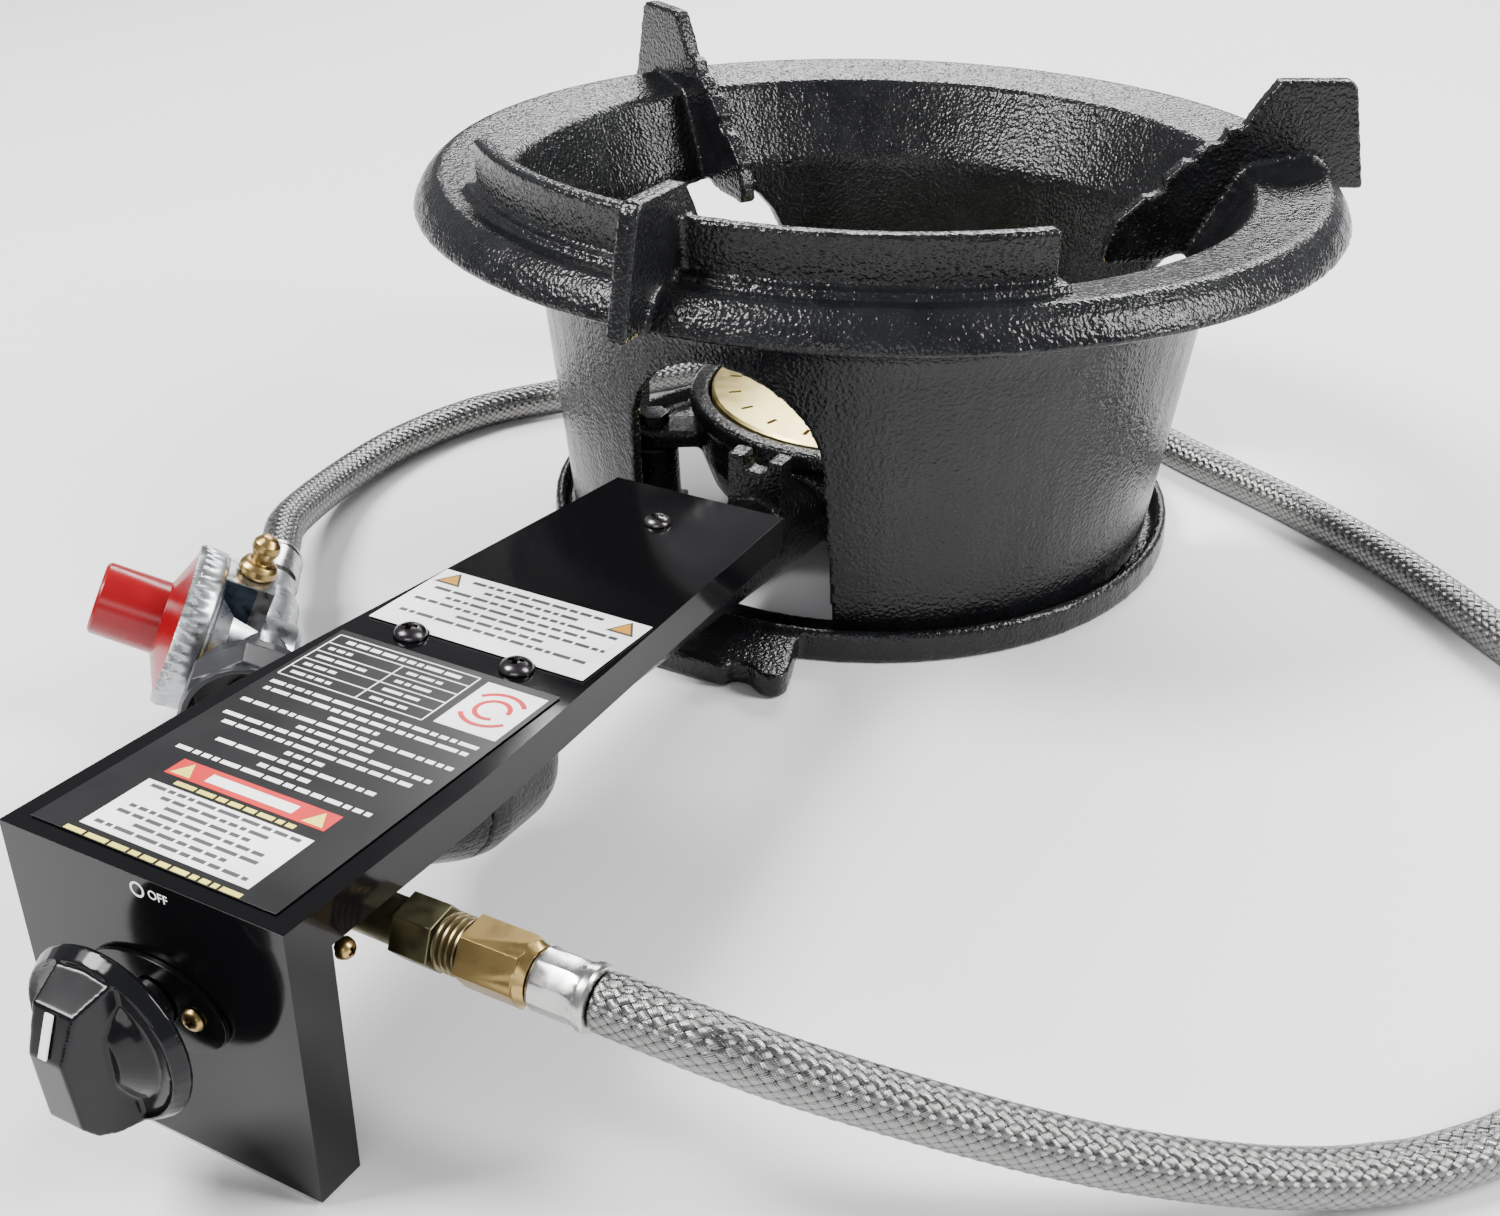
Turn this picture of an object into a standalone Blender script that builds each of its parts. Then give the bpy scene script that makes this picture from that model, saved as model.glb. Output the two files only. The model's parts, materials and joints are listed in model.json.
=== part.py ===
"""Cast-iron propane burner stand with a sheet-metal control arm, a braided hose and a regulator.

Metres, +Z up, floor at z = 0. The origin is the middle of the rigid burner's footprint.
The arm runs from the round burner towards -Y and ends in the control panel.
"""

import math

import bmesh
import bpy
from mathutils import Matrix, Vector

MM = 0.001
GAP = 0.3  # clearance between neighbouring pieces

# Ring casting (wok ring, wind skirt and body), millimetres
RING_Y = 128.4  # ring axis ahead of the origin
RIM_R, RIM_TOP, RIM_T = 164.8, 144.0, 6.0  # the rim's top dishes inwards to MOUTH_R, MOUTH_Z
LIP_R, LIP_Z = 172.9, 131.8
MOUTH_R, MOUTH_Z = 139.0, 140.0
FUNNEL_R, FUNNEL_Z = 123.6, 111.8
BODY_LOW_R, BODY_LOW_Z, BODY_T = 119.2, 4.8, 5.3
WALL_SLOPE = 0.0866
ARCH_ANGLES = (-90.0, 30.0, 150.0)
FIN_T, FIN_TURN = 6.8, -0.7
GUARD_R, GUARD_T, GUARD_TOP, GUARD_HALF_DEG = 150.6, 6.0, 160.8, 45.0
ARCH_HALF, ARCH_SPRING, ARCH_TOP = 40.0, 72.0, 106.5

# Base ring
BASE_R, BASE_LIP_R, BASE_H, BASE_SEAT = 128.6, 128.0, 12.0, 4.5
BOSS_ANGLES = (90.0, 210.0, 330.0)
BOSS_CIRCLE_R, BOSS_R, BOSS_H = 86.0, 10.0, 31.0

# Burner head and mixing tube
CUP_R, CUP_TOP, CUP_FLOOR = 71.0, 54.0, 9.0
CAP_R, CAP_T = 62.0, 6.0
TUBE_DEPTH = 32.0  # tube axis below the arm's top face

# Control arm. Its own frame starts at the top front edge: x across, s towards the ring, d down.
ARM_FRONT_Y, ARM_FRONT_Z, ARM_PITCH = -394.7, 81.9, -4.154
ARM_W, ARM_REAR_W, ARM_LEN, ARM_TAPER_FROM = 85.2, 65.2, 257.3, 70.0
SHEET, FLANGE = 1.2, 11.8
PANEL_H, PANEL_RETURN = 80.8, 14.0
STEM_DEPTH = 35.0
KNOB_R, KNOB_BACK = 23.8, 13.3

# Gas line
HOSE_D = 15.2
INLET_S, INLET_DEPTH = 41.3, 24.9

# Regulator frame: block centre, bonnet direction and outlet direction
REG_BLOCK = (-114.7, -239.7, 22.6)
REG_BONNET_YAW, REG_BONNET_TILT, REG_ROLL = -144.1, 27.3, 1.4
DIAPHRAGM_R, DIAPHRAGM_OFF = 27.4, 24.5
NUT_R, NUT_LEN, NUT_START, NUT_DROP = 22.3, 19.5, 28.0, 0.5
INLET_NECK = 16.0


for old in list(bpy.data.objects):
    bpy.data.objects.remove(old, do_unlink=True)

PARTS = bpy.data.collections.new("propane_burner_stand")
CUTTERS = bpy.data.collections.new("cutters")
for group in (PARTS, CUTTERS):
    bpy.context.scene.collection.children.link(group)


def finish_colour(name, rgb, roughness, metallic=0.0):
    mat = bpy.data.materials.new(name)
    mat.use_nodes = True
    shader = mat.node_tree.nodes["Principled BSDF"]
    shader.inputs["Base Color"].default_value = (*rgb, 1.0)
    shader.inputs["Roughness"].default_value = roughness
    shader.inputs["Metallic"].default_value = metallic
    return mat


IRON = finish_colour("hammered_black_iron", (0.035, 0.037, 0.04), 0.42, 0.3)
ENAMEL = finish_colour("black_enamel_sheet", (0.012, 0.013, 0.016), 0.12)
BRASS = finish_colour("brass", (0.62, 0.45, 0.2), 0.32, 1.0)
DARK_BRASS = finish_colour("dark_brass", (0.21, 0.19, 0.11), 0.45, 0.9)
STEEL = finish_colour("steel", (0.62, 0.62, 0.62), 0.3, 1.0)
BLACK_STEEL = finish_colour("black_screw", (0.03, 0.03, 0.035), 0.25, 0.8)
BRAID = finish_colour("steel_braid", (0.5, 0.49, 0.48), 0.42, 1.0)
ZINC = finish_colour("zinc_casting", (0.5, 0.53, 0.56), 0.4, 0.9)
RED = finish_colour("red_paint", (0.55, 0.02, 0.045), 0.4)
BLACK_PLASTIC = finish_colour("black_plastic", (0.012, 0.012, 0.014), 0.25)
NUT_PLASTIC = finish_colour("nut_plastic", (0.03, 0.031, 0.034), 0.5)
WHITE = finish_colour("white_print", (0.85, 0.85, 0.84), 0.5)
BLACK_LABEL = finish_colour("black_label", (0.035, 0.035, 0.04), 0.5)


def empty(name, matrix):
    frame = bpy.data.objects.new(name, None)
    PARTS.objects.link(frame)
    frame.matrix_world = matrix
    return frame


def place(name, mesh, colour, frame=None, loc=(0, 0, 0), turn=None, cutter=False):
    """Links a mesh object, posed in its frame; loc is in millimetres."""
    obj = bpy.data.objects.new(name, mesh)
    (CUTTERS if cutter else PARTS).objects.link(obj)
    obj.parent = frame
    obj.matrix_basis = Matrix.Translation(Vector(loc) * MM) @ (turn or Matrix())
    if cutter:
        obj.hide_render = True
        obj.display_type = "WIRE"
    elif colour:
        mesh.materials.append(colour)
        for polygon in mesh.polygons:
            polygon.use_smooth = True
        mesh.set_sharp_from_angle(angle=math.radians(35))
    return obj


def mesh_from(bm, name):
    mesh = bpy.data.meshes.new(name)
    bm.to_mesh(mesh)
    bm.free()
    return mesh


def box_mesh(name, low, high):
    bm = bmesh.new()
    bmesh.ops.create_cube(bm, size=1.0)
    size = [(h - l) * MM for l, h in zip(low, high)]
    middle = [(h + l) / 2 * MM for l, h in zip(low, high)]
    bmesh.ops.scale(bm, vec=size, verts=bm.verts)
    bmesh.ops.translate(bm, vec=middle, verts=bm.verts)
    return mesh_from(bm, name)


def prism_mesh(name, r1, r2, z1, z2, sides=24, turn=0.0):
    """A cylinder, cone or hexagon along Z, r1 at z1 and r2 at z2."""
    bm = bmesh.new()
    bmesh.ops.create_cone(bm, cap_ends=True, segments=sides, radius1=r1 * MM, radius2=r2 * MM,
                          depth=(z2 - z1) * MM)
    bmesh.ops.rotate(bm, matrix=Matrix.Rotation(math.radians(turn), 3, "Z"), verts=bm.verts)
    bmesh.ops.translate(bm, vec=(0, 0, (z1 + z2) / 2 * MM), verts=bm.verts)
    return mesh_from(bm, name)


def turned_mesh(name, profile, steps=48, ring=False):
    """Turns (r, z) points about Z. The outline runs down the outer side; a ring's outline closes."""
    bm = bmesh.new()
    points = [bm.verts.new((max(r, 0.0) * MM, 0, z * MM)) for r, z in profile]
    for a, b in zip(points, points[1:]):
        bm.edges.new((a, b))
    if ring:
        bm.edges.new((points[-1], points[0]))
    helper = bpy.data.objects.new(name, mesh_from(bm, name))
    PARTS.objects.link(helper)
    screw = helper.modifiers.new("turn", "SCREW")
    screw.steps = screw.render_steps = steps
    screw.use_merge_vertices = True
    screw.merge_threshold = 1e-5
    screw.use_smooth_shade = True
    mesh = bpy.data.meshes.new_from_object(
        helper.evaluated_get(bpy.context.evaluated_depsgraph_get()))
    mesh.name = name
    bpy.data.objects.remove(helper)
    return mesh


def plate_mesh(name, outline, thickness):
    """A flat outline in XY, mid-plane at z = 0."""
    curve = bpy.data.curves.new(name, "CURVE")
    curve.dimensions = "2D"
    curve.fill_mode = "BOTH"
    curve.extrude = thickness / 2 * MM
    spline = curve.splines.new("POLY")
    spline.points.add(len(outline) - 1)
    for point, (x, y) in zip(spline.points, outline):
        point.co = (x * MM, y * MM, 0, 1)
    spline.use_cyclic_u = True
    helper = bpy.data.objects.new(name, curve)
    PARTS.objects.link(helper)
    mesh = bpy.data.meshes.new_from_object(
        helper.evaluated_get(bpy.context.evaluated_depsgraph_get()))
    mesh.name = name
    bm = bmesh.new()
    bm.from_mesh(mesh)
    bmesh.ops.remove_doubles(bm, verts=bm.verts, dist=1e-6)
    bm.to_mesh(mesh)
    bm.free()
    bpy.data.objects.remove(helper)
    return mesh


def combine(obj, tool, operation):
    modifier = obj.modifiers.new(tool.name, "BOOLEAN")
    modifier.operation = operation
    modifier.object = tool


def upright(angle):
    """Takes a plate outline's x to the radius at this angle, and its y to height."""
    return Matrix.Rotation(math.radians(angle), 4, "Z") @ Matrix.Rotation(math.pi / 2, 4, "X")


def along_x():
    return Matrix.Rotation(math.pi / 2, 4, "Y")


def polar(radius, angle):
    return radius * math.cos(math.radians(angle)), radius * math.sin(math.radians(angle))


ring_frame = empty("ring_frame", Matrix.Translation((0, RING_Y * MM, 0)))

# ---------------------------------------------------------------- ring casting
wall_top = BODY_LOW_R + WALL_SLOPE * (FUNNEL_Z - BODY_LOW_Z)
ring_outline = [
    (RIM_R - 1.8, RIM_TOP), (RIM_R, RIM_TOP - 0.8), (RIM_R + 3.6, RIM_TOP - 3.6),
    (RIM_R + 6.6, RIM_TOP - 7.8), (LIP_R, LIP_Z + 1.0), (LIP_R - 1.4, LIP_Z), (LIP_R - 6.4, LIP_Z),
    (RIM_R - 4.5, RIM_TOP - RIM_T), (MOUTH_R + 7.5, MOUTH_Z - 6.0), (MOUTH_R + 4.0, MOUTH_Z - 8.0),
    (wall_top + 1.4, FUNNEL_Z + 2.0), (wall_top, FUNNEL_Z - 4.0), (BODY_LOW_R, BODY_LOW_Z),
    (BODY_LOW_R - BODY_T, BODY_LOW_Z), (wall_top - BODY_T - 0.6, FUNNEL_Z - 4.0),
    (FUNNEL_R, FUNNEL_Z), (MOUTH_R - 1.4, MOUTH_Z - 1.6), (MOUTH_R + 0.6, MOUTH_Z),
]
ring = place("ring_casting", turned_mesh("ring_casting", ring_outline, 72, ring=True), IRON,
             ring_frame, turn=Matrix.Rotation(math.radians(2.3), 4, "Z"))

arch = [(-ARCH_HALF - 1.0, -2.0), (-ARCH_HALF + 2.5, ARCH_SPRING)]
for i in range(1, 12):
    t = math.pi * (1 - i / 12)
    arch.append(((ARCH_HALF - 2.5) * math.cos(t),
                 ARCH_SPRING + (ARCH_TOP - ARCH_SPRING) * math.sin(t)))
arch += [(ARCH_HALF - 2.5, ARCH_SPRING), (ARCH_HALF + 1.0, -2.0)]
for angle in ARCH_ANGLES:
    x, y = polar(120.0, angle)
    tool = place(f"arch_cut_{int(angle) % 360}", plate_mesh("arch_cut", arch, 50.0), None, ring_frame,
                 (x, y, 0), upright(angle + 90), cutter=True)
    combine(ring, tool, "DIFFERENCE")

fin = [
    (146.5, 170.4), (141.0, 162.6), (136.8, 155.4), (135.8, 153.2), (130.0, 151.2), (127.2, 147.6),
    (124.6, 145.4), (119.4, 142.6), (110.6, 134.2), (109.0, 131.2), (104.6, 128.8), (93.0, 117.6),
    (90.8, 112.0), (90.0, 105.5), (91.8, 103.8), (113.0, 105.2), (118.0, 107.2), (125.4, 108.0),
    (126.6, 113.0), (141.4, 136.6), (161.0, 139.4), (167.6, 136.8), (169.5, 133.2), (173.0, 132.2),
    (185.2, 132.0), (175.2, 168.0), (172.6, 170.4),
]
for angle in ARCH_ANGLES:
    tool = place(f"fin_{int(angle) % 360}", plate_mesh("fin", fin, FIN_T), None, ring_frame,
                 (0, 0, 0), upright(angle + FIN_TURN), cutter=True)
    combine(ring, tool, "UNION")


def arc_band(r_in, r_out, half_deg, middle_deg, steps):
    pts = [polar(r_out, middle_deg - half_deg + 2 * half_deg * i / steps) for i in range(steps + 1)]
    return pts + [polar(r_in, middle_deg + half_deg - 2 * half_deg * i / steps)
                  for i in range(steps + 1)]


for name, margin, low, high in (("guard_step", 4.0, 139.4, RIM_TOP + 1.2),
                                ("guard_wall", 0.0, 138.8, GUARD_TOP)):
    band = arc_band(GUARD_R - GUARD_T - margin, GUARD_R + margin, GUARD_HALF_DEG + margin / 3, -90.0, 19)
    tool = place(name, plate_mesh(name, band, high - low), None, ring_frame,
                 (0, 0, (high + low) / 2), cutter=True)
    combine(ring, tool, "UNION")

# ---------------------------------------------------------------- base ring
base_outline = [
    (BASE_LIP_R - 0.8, BASE_H), (BASE_LIP_R, BASE_H - 0.8), (BASE_R, 1.0), (BASE_R - 0.8, 0.0),
    (104.0, 0.0), (104.0, BASE_SEAT), (123.6, BASE_SEAT), (124.6, BASE_H),
]
base = place("base_ring", turned_mesh("base_ring", base_outline, 64, ring=True), IRON, ring_frame)
half_tab = [(0.0, -154.6), (18.7, -154.5), (20.6, -150.2), (25.3, -149.4), (31.4, -152.7),
            (36.2, -153.5), (39.4, -151.3), (39.9, -146.7), (37.3, -137.6), (33.8, -127.7), (33.2, -121.4),
            (17.2, -124.6)]
tab = [(-x, y) for x, y in half_tab[:0:-1]] + half_tab + [(0.0, -125.9)]
tool = place("front_tab", plate_mesh("front_tab", tab, 9.4), None, ring_frame, (0, 0, 5.1), cutter=True)
combine(base, tool, "UNION")
for angle in BOSS_ANGLES:
    x, y = polar(BOSS_CIRCLE_R, angle)
    spoke = place(f"spoke_{int(angle)}", box_mesh("spoke", (-14.0, -8.0, 0.4), (22.0, 8.0, 5.5)), None,
                  ring_frame, (x, y, 0), Matrix.Rotation(math.radians(angle), 4, "Z"), cutter=True)
    combine(base, spoke, "UNION")
    boss = place(f"boss_{int(angle)}", prism_mesh("boss", BOSS_R + 1.5, BOSS_R, 0.2, BOSS_H, 20), None,
                 ring_frame, (x, y, 0), cutter=True)
    combine(base, boss, "UNION")

# ---------------------------------------------------------------- control arm frame
arm_frame = empty(
    "arm_frame",
    Matrix.Translation(Vector((0, RING_Y + ARM_FRONT_Y, ARM_FRONT_Z)) * MM)
    @ Matrix.Rotation(math.radians(ARM_PITCH), 4, "X"))
# Turned pieces of the arm lie along its s axis: their own z runs forwards, out of the panel.
FORWARD = Matrix.Rotation(math.pi / 2, 4, "X")

# ---------------------------------------------------------------- burner head with its mixing tube
cup_outer = [
    (0.0, CUP_TOP - 1.0), (CUP_R - 1.5, CUP_TOP - 1.0), (CUP_R - 0.2, CUP_TOP - 2.2),
    (CUP_R, CUP_TOP - 7.0), (CUP_R - 2.5, CUP_TOP - 9.0), (CUP_R - 4.0, 30.0), (CUP_R - 9.0, 17.0),
    (CUP_R - 18.0, CUP_FLOOR), (0.0, CUP_FLOOR),
]
burner = place("burner_head", turned_mesh("burner_head", cup_outer, 48), IRON, ring_frame)
tube_outer = [
    (0.0, -100.5), (24.2, -100.5), (26.0, -106.5), (26.0, -126.5), (24.9, -131.0), (21.4, -136.5),
    (16.0, -142.0), (14.5, -147.0), (14.5, -200.0), (15.5, -280.0), (17.0, -345.0), (0.0, -345.0),
]
tube = place("mixing_tube", turned_mesh("mixing_tube", tube_outer, 32), None, arm_frame,
             (0, 0, -TUBE_DEPTH), FORWARD, cutter=True)
combine(burner, tube, "UNION")
lugs = [(-11.0, 40.0), (-11.0, 60.5), (-5.0, 60.5), (-4.0, 54.5), (4.0, 54.5), (5.0, 60.5),
        (11.0, 60.5), (11.0, 40.0)]
tool = place("lug_block", plate_mesh("lug_block", lugs, 9.0), None, ring_frame, (0, -92.0, 0),
             Matrix.Rotation(math.pi / 2, 4, "X"), cutter=True)
combine(burner, tool, "UNION")
EAR_LOW, EAR_TOP = BOSS_H + GAP, BOSS_H + GAP + 7.0
for angle in BOSS_ANGLES:
    ear = [(50.0, -9.0), (BOSS_CIRCLE_R, -10.0)]
    ear += [(BOSS_CIRCLE_R + 10.0 * math.sin(math.pi * i / 8),
             -10.0 * math.cos(math.pi * i / 8)) for i in range(1, 8)]
    ear += [(BOSS_CIRCLE_R, 10.0), (50.0, 9.0)]
    tool = place(f"ear_{int(angle)}", plate_mesh("ear", ear, EAR_TOP - EAR_LOW), None, ring_frame,
                 (0, 0, (EAR_LOW + EAR_TOP) / 2), Matrix.Rotation(math.radians(angle), 4, "Z"),
                 cutter=True)
    combine(burner, tool, "UNION")
bowl = place("bowl_cut", turned_mesh("bowl_cut", [
    (0.0, CUP_TOP + 3.0), (CAP_R + 1.2, CUP_TOP + 3.0), (CAP_R + 1.2, CUP_TOP - 6.5),
    (CAP_R - 4.0, CUP_TOP - 6.5), (CAP_R - 6.0, CUP_FLOOR + 9.0), (0.0, CUP_FLOOR + 5.0)], 48),
    None, ring_frame, cutter=True)
combine(burner, bowl, "DIFFERENCE")
bore = place("bore_cut", turned_mesh("bore_cut", [
    (0.0, -98.0), (19.6, -98.0), (21.6, -107.0), (21.6, -125.0), (11.2, -140.5), (11.2, -200.0),
    (12.0, -280.0), (13.0, -350.0), (0.0, -350.0)], 28), None, arm_frame, (0, 0, -TUBE_DEPTH), FORWARD, cutter=True)
combine(burner, bore, "DIFFERENCE")
for angle in BOSS_ANGLES:
    x, y = polar(BOSS_CIRCLE_R, angle)
    hole = place(f"ear_hole_{int(angle)}", prism_mesh("ear_hole", 3.6, 3.6, 25.0, 45.0, 16), None,
                 ring_frame, (x, y, 0), cutter=True)
    combine(burner, hole, "DIFFERENCE")

# Brass cap: a shallow domed disc with a ring of short flame slots
cap_z = CUP_TOP - 6.5 + GAP
cap = place("burner_cap", turned_mesh("burner_cap", [
    (0.0, cap_z + CAP_T + 0.8), (44.0, cap_z + CAP_T + 0.4), (CAP_R - 1.0, cap_z + CAP_T),
    (CAP_R, cap_z + CAP_T - 1.0), (CAP_R, cap_z), (0.0, cap_z)], 56), BRASS, ring_frame)
SLOTS = 20
for i in range(SLOTS):
    x, y = polar(53.0, 360.0 * i / SLOTS)
    slot = place(f"flame_slot_{i}", box_mesh("flame_slot", (-2.6, -0.9, cap_z - 3.0),
                                             (2.6, 0.9, cap_z + CAP_T + 3.0)), None, ring_frame,
                 (x, y, 0), Matrix.Rotation(math.radians(360.0 * i / SLOTS), 4, "Z"), cutter=True)
    combine(cap, slot, "DIFFERENCE")


def screw_mesh(name, head_r, head_h, shank_r, shank_len, recess=True, sides=20):
    """A pan head at z = 0 upwards with its shank below; the recess is a shallow cross's middle."""
    outline = [(0.0, head_h)] if not recess else [(0.0, head_h * 0.45), (head_r * 0.28, head_h * 0.97)]
    outline += [(head_r * 0.5, head_h * 0.93), (head_r * 0.82, head_h * 0.62), (head_r, head_h * 0.12),
                (head_r, 0.0), (shank_r, 0.0), (shank_r, -shank_len), (0.0, -shank_len)]
    return turned_mesh(name, outline, sides)


for i, angle in enumerate(BOSS_ANGLES):
    x, y = polar(BOSS_CIRCLE_R, angle)
    bolt = place(f"burner_bolt_{i + 1}", prism_mesh("burner_bolt", 6.4, 6.4, 0.0, 5.0, 6), BLACK_STEEL,
                 ring_frame, (x, y, EAR_TOP + GAP))
    shank = place(f"bolt_shank_{i + 1}", prism_mesh("bolt_shank", 3.0, 3.0, -6.5, 0.5, 12), None,
                  ring_frame, (x, y, EAR_TOP + GAP), cutter=True)
    combine(bolt, shank, "UNION")

# ---------------------------------------------------------------- air shutter and gas jet
shutter = place("air_shutter", turned_mesh("air_shutter", [
    (5.2, -83.5), (16.2, -83.5), (20.0, -91.4), (24.0, -100.0), (21.6, -100.0), (17.9, -92.0),
    (14.9, -85.7), (5.2, -85.7)], 32, ring=True), IRON, arm_frame, (0, 0, -TUBE_DEPTH), FORWARD)
for i in range(4):
    x, y = polar(10.4, 45.0 + 90.0 * i)
    window = place(f"shutter_window_{i}", prism_mesh("shutter_window", 3.6, 3.6, -90.0, -80.0, 10), None,
                   arm_frame, (x, 0, -TUBE_DEPTH + y), FORWARD, cutter=True)
    combine(shutter, window, "DIFFERENCE")

# ---------------------------------------------------------------- folded sheet cover
half, rear_half = ARM_W / 2, ARM_REAR_W / 2
top_outline = [(-half, 0), (half, 0), (half, ARM_TAPER_FROM), (rear_half, ARM_LEN),
               (-rear_half, ARM_LEN), (-half, ARM_TAPER_FROM)]
cover = place("arm_cover", plate_mesh("arm_cover", top_outline, SHEET), ENAMEL, arm_frame,
              (0, 0, -SHEET / 2))
inner = [(-half + SHEET, SHEET), (half - SHEET, SHEET), (half - SHEET, ARM_TAPER_FROM),
         (rear_half - SHEET, ARM_LEN + 0.01), (rear_half - SHEET, ARM_LEN + 20),
         (-rear_half + SHEET, ARM_LEN + 20), (-rear_half + SHEET, ARM_LEN + 0.01),
         (-half + SHEET, ARM_TAPER_FROM)]
skirt = place("cover_skirt", plate_mesh("cover_skirt", top_outline, FLANGE - 0.5), None, arm_frame,
              (0, 0, -(FLANGE + 0.5) / 2), cutter=True)
hollow = place("cover_hollow", plate_mesh("cover_hollow", inner, FLANGE + 6.0), None, arm_frame,
               (0, 0, -SHEET - (FLANGE + 6.0) / 2), cutter=True)
panel = place("panel_block", box_mesh("panel_block", (-half, 0, -PANEL_H), (half, PANEL_RETURN, -0.6)),
              None, arm_frame, cutter=True)
panel_hollow = place("panel_hollow", box_mesh(
    "panel_hollow", (-half + SHEET, SHEET, -PANEL_H - 4.0), (half - SHEET, PANEL_RETURN + 8.0, -SHEET)), None,
    arm_frame, cutter=True)
combine(cover, skirt, "UNION")
combine(cover, panel, "UNION")
combine(cover, hollow, "DIFFERENCE")
combine(cover, panel_hollow, "DIFFERENCE")
for name, x, s, r in (("hole_left", -19.5, 123.5, 2.9), ("hole_right", 17.5, 122.5, 2.9),
                      ("hole_rear", -0.5, 230.0, 2.6)):
    tool = place(name, prism_mesh(name, r, r, -6.0, 4.0, 14), None, arm_frame, (x, s, 0), cutter=True)
    combine(cover, tool, "DIFFERENCE")
for name, x, r in (("stem_hole", 0.0, 7.0), ("bezel_hole_left", -12.6, 1.9),
                   ("bezel_hole_right", 12.6, 1.9)):
    tool = place(name, prism_mesh(name, r, r, -4.0, 4.0, 16), None, arm_frame, (x, 0, -STEM_DEPTH),
                 FORWARD, cutter=True)
    combine(cover, tool, "DIFFERENCE")

truss = screw_mesh("cover_screw", 5.0, 3.0, 2.4, 9.0)
for name, x, s, mesh in (("cover_screw_left", -19.5, 123.5, truss),
                         ("cover_screw_right", 17.5, 122.5, truss.copy()),
                         ("cover_screw_rear", -0.5, 230.0, screw_mesh("rear_screw", 4.5, 2.6, 2.1, 2.3))):
    place(name, mesh, BLACK_STEEL, arm_frame, (x, s, GAP))

# Labels: thin plates just above the cover
LABEL_T = 0.25
place("data_label", box_mesh("data_label", (-37.2, 4.6, GAP), (36.6, 115.4, GAP + LABEL_T)), BLACK_LABEL,
      arm_frame)
caution = place("caution_label", box_mesh("caution_label", (-36.6, 126.2, GAP),
                                          (36.6, 163.8, GAP + LABEL_T)), WHITE, arm_frame)
for name, x, s in (("label_bite_left", -19.5, 123.5), ("label_bite_right", 17.5, 122.5)):
    tool = place(name, prism_mesh(name, 5.4, 5.4, -2.0, 3.0, 20), None, arm_frame, (x, s, 0), cutter=True)
    combine(caution, tool, "DIFFERENCE")

# ---------------------------------------------------------------- bezel, valve, stem and knob
bezel = [(22.0 * math.cos(2 * math.pi * i / 28), 12.5 * math.sin(2 * math.pi * i / 28))
         for i in range(28)]
plate = place("stem_bezel", plate_mesh("stem_bezel", bezel, 1.4), ENAMEL, arm_frame,
              (0, -GAP - 0.7, -STEM_DEPTH), FORWARD)
for name, x, r in (("bezel_bore", 0.0, 5.6), ("bezel_left", -12.6, 1.9), ("bezel_right", 12.6, 1.9)):
    tool = place(name, prism_mesh(name, r, r, -4.0, 4.0, 16), None, arm_frame, (x, 0, -STEM_DEPTH),
                 FORWARD, cutter=True)
    combine(plate, tool, "DIFFERENCE")
small = screw_mesh("bezel_screw", 3.0, 1.9, 1.5, 7.0, sides=16)
for name, x, mesh in (("bezel_screw_left", -12.6, small), ("bezel_screw_right", 12.6, small.copy())):
    place(name, mesh, BRASS, arm_frame, (x, -GAP - 1.4 - GAP, -STEM_DEPTH), FORWARD)

valve = place("valve_body", turned_mesh("valve_body", [
    (0.0, -9.0), (9.0, -9.0), (11.5, -11.0), (11.5, -58.0), (8.0, -62.0), (8.0, -72.0), (0.0, -72.0)],
    24), DARK_BRASS, arm_frame, (0, 0, -STEM_DEPTH), FORWARD)
block = place("valve_block", box_mesh("valve_block", (-11.0, 15.5, -46.0), (12.0, 56.0, -15.0)), None,
              arm_frame, cutter=True)
combine(valve, block, "UNION")
seat = place("stem_pocket", prism_mesh("stem_pocket", 4.2, 4.2, -26.0, -4.0, 16), None, arm_frame,
             (0, 0, -STEM_DEPTH), FORWARD, cutter=True)
combine(valve, seat, "DIFFERENCE")
for name, x in (("ear_screw_left", -12.6), ("ear_screw_right", 12.6)):
    tool = place(name, prism_mesh(name, 1.9, 1.9, -20.0, -4.0, 12), None, arm_frame,
                 (x, 0, -STEM_DEPTH), FORWARD, cutter=True)
    combine(valve, tool, "DIFFERENCE")

place("gas_jet", turned_mesh("gas_jet", [
    (0.0, -72.4), (6.5, -72.4), (6.5, -80.0), (4.2, -82.0), (4.2, -104.0), (1.5, -106.0), (0.0, -106.0)],
    20), BRASS, arm_frame, (0, 0, -TUBE_DEPTH), FORWARD)

stem_frame = empty("stem_frame", arm_frame.matrix_world @ Matrix.Translation(
    Vector((0, 0, -STEM_DEPTH)) * MM) @ FORWARD)
place("valve_stem", prism_mesh("valve_stem", 3.6, 3.6, -21.0, KNOB_BACK - GAP, 20), STEEL, stem_frame)
place("stem_bushing", turned_mesh("stem_bushing", [
    (4.2, 9.8), (6.8, 9.8), (6.8, 2.1), (5.0, 2.1), (5.0, -2.0), (6.2, -2.0), (6.2, -8.4),
    (4.2, -8.4)], 24, ring=True),
    BLACK_STEEL, stem_frame)
knob = place("knob", turned_mesh("knob", [
    (0.0, 22.0), (10.0, 22.0), (14.5, 19.0), (16.5, 17.2), (20.4, 17.0), (21.4, 18.2), (22.0, 17.9),
    (KNOB_R, KNOB_BACK + 1.2), (KNOB_R - 0.8, KNOB_BACK), (0.0, KNOB_BACK)], 44), BLACK_PLASTIC,
    stem_frame)
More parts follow.
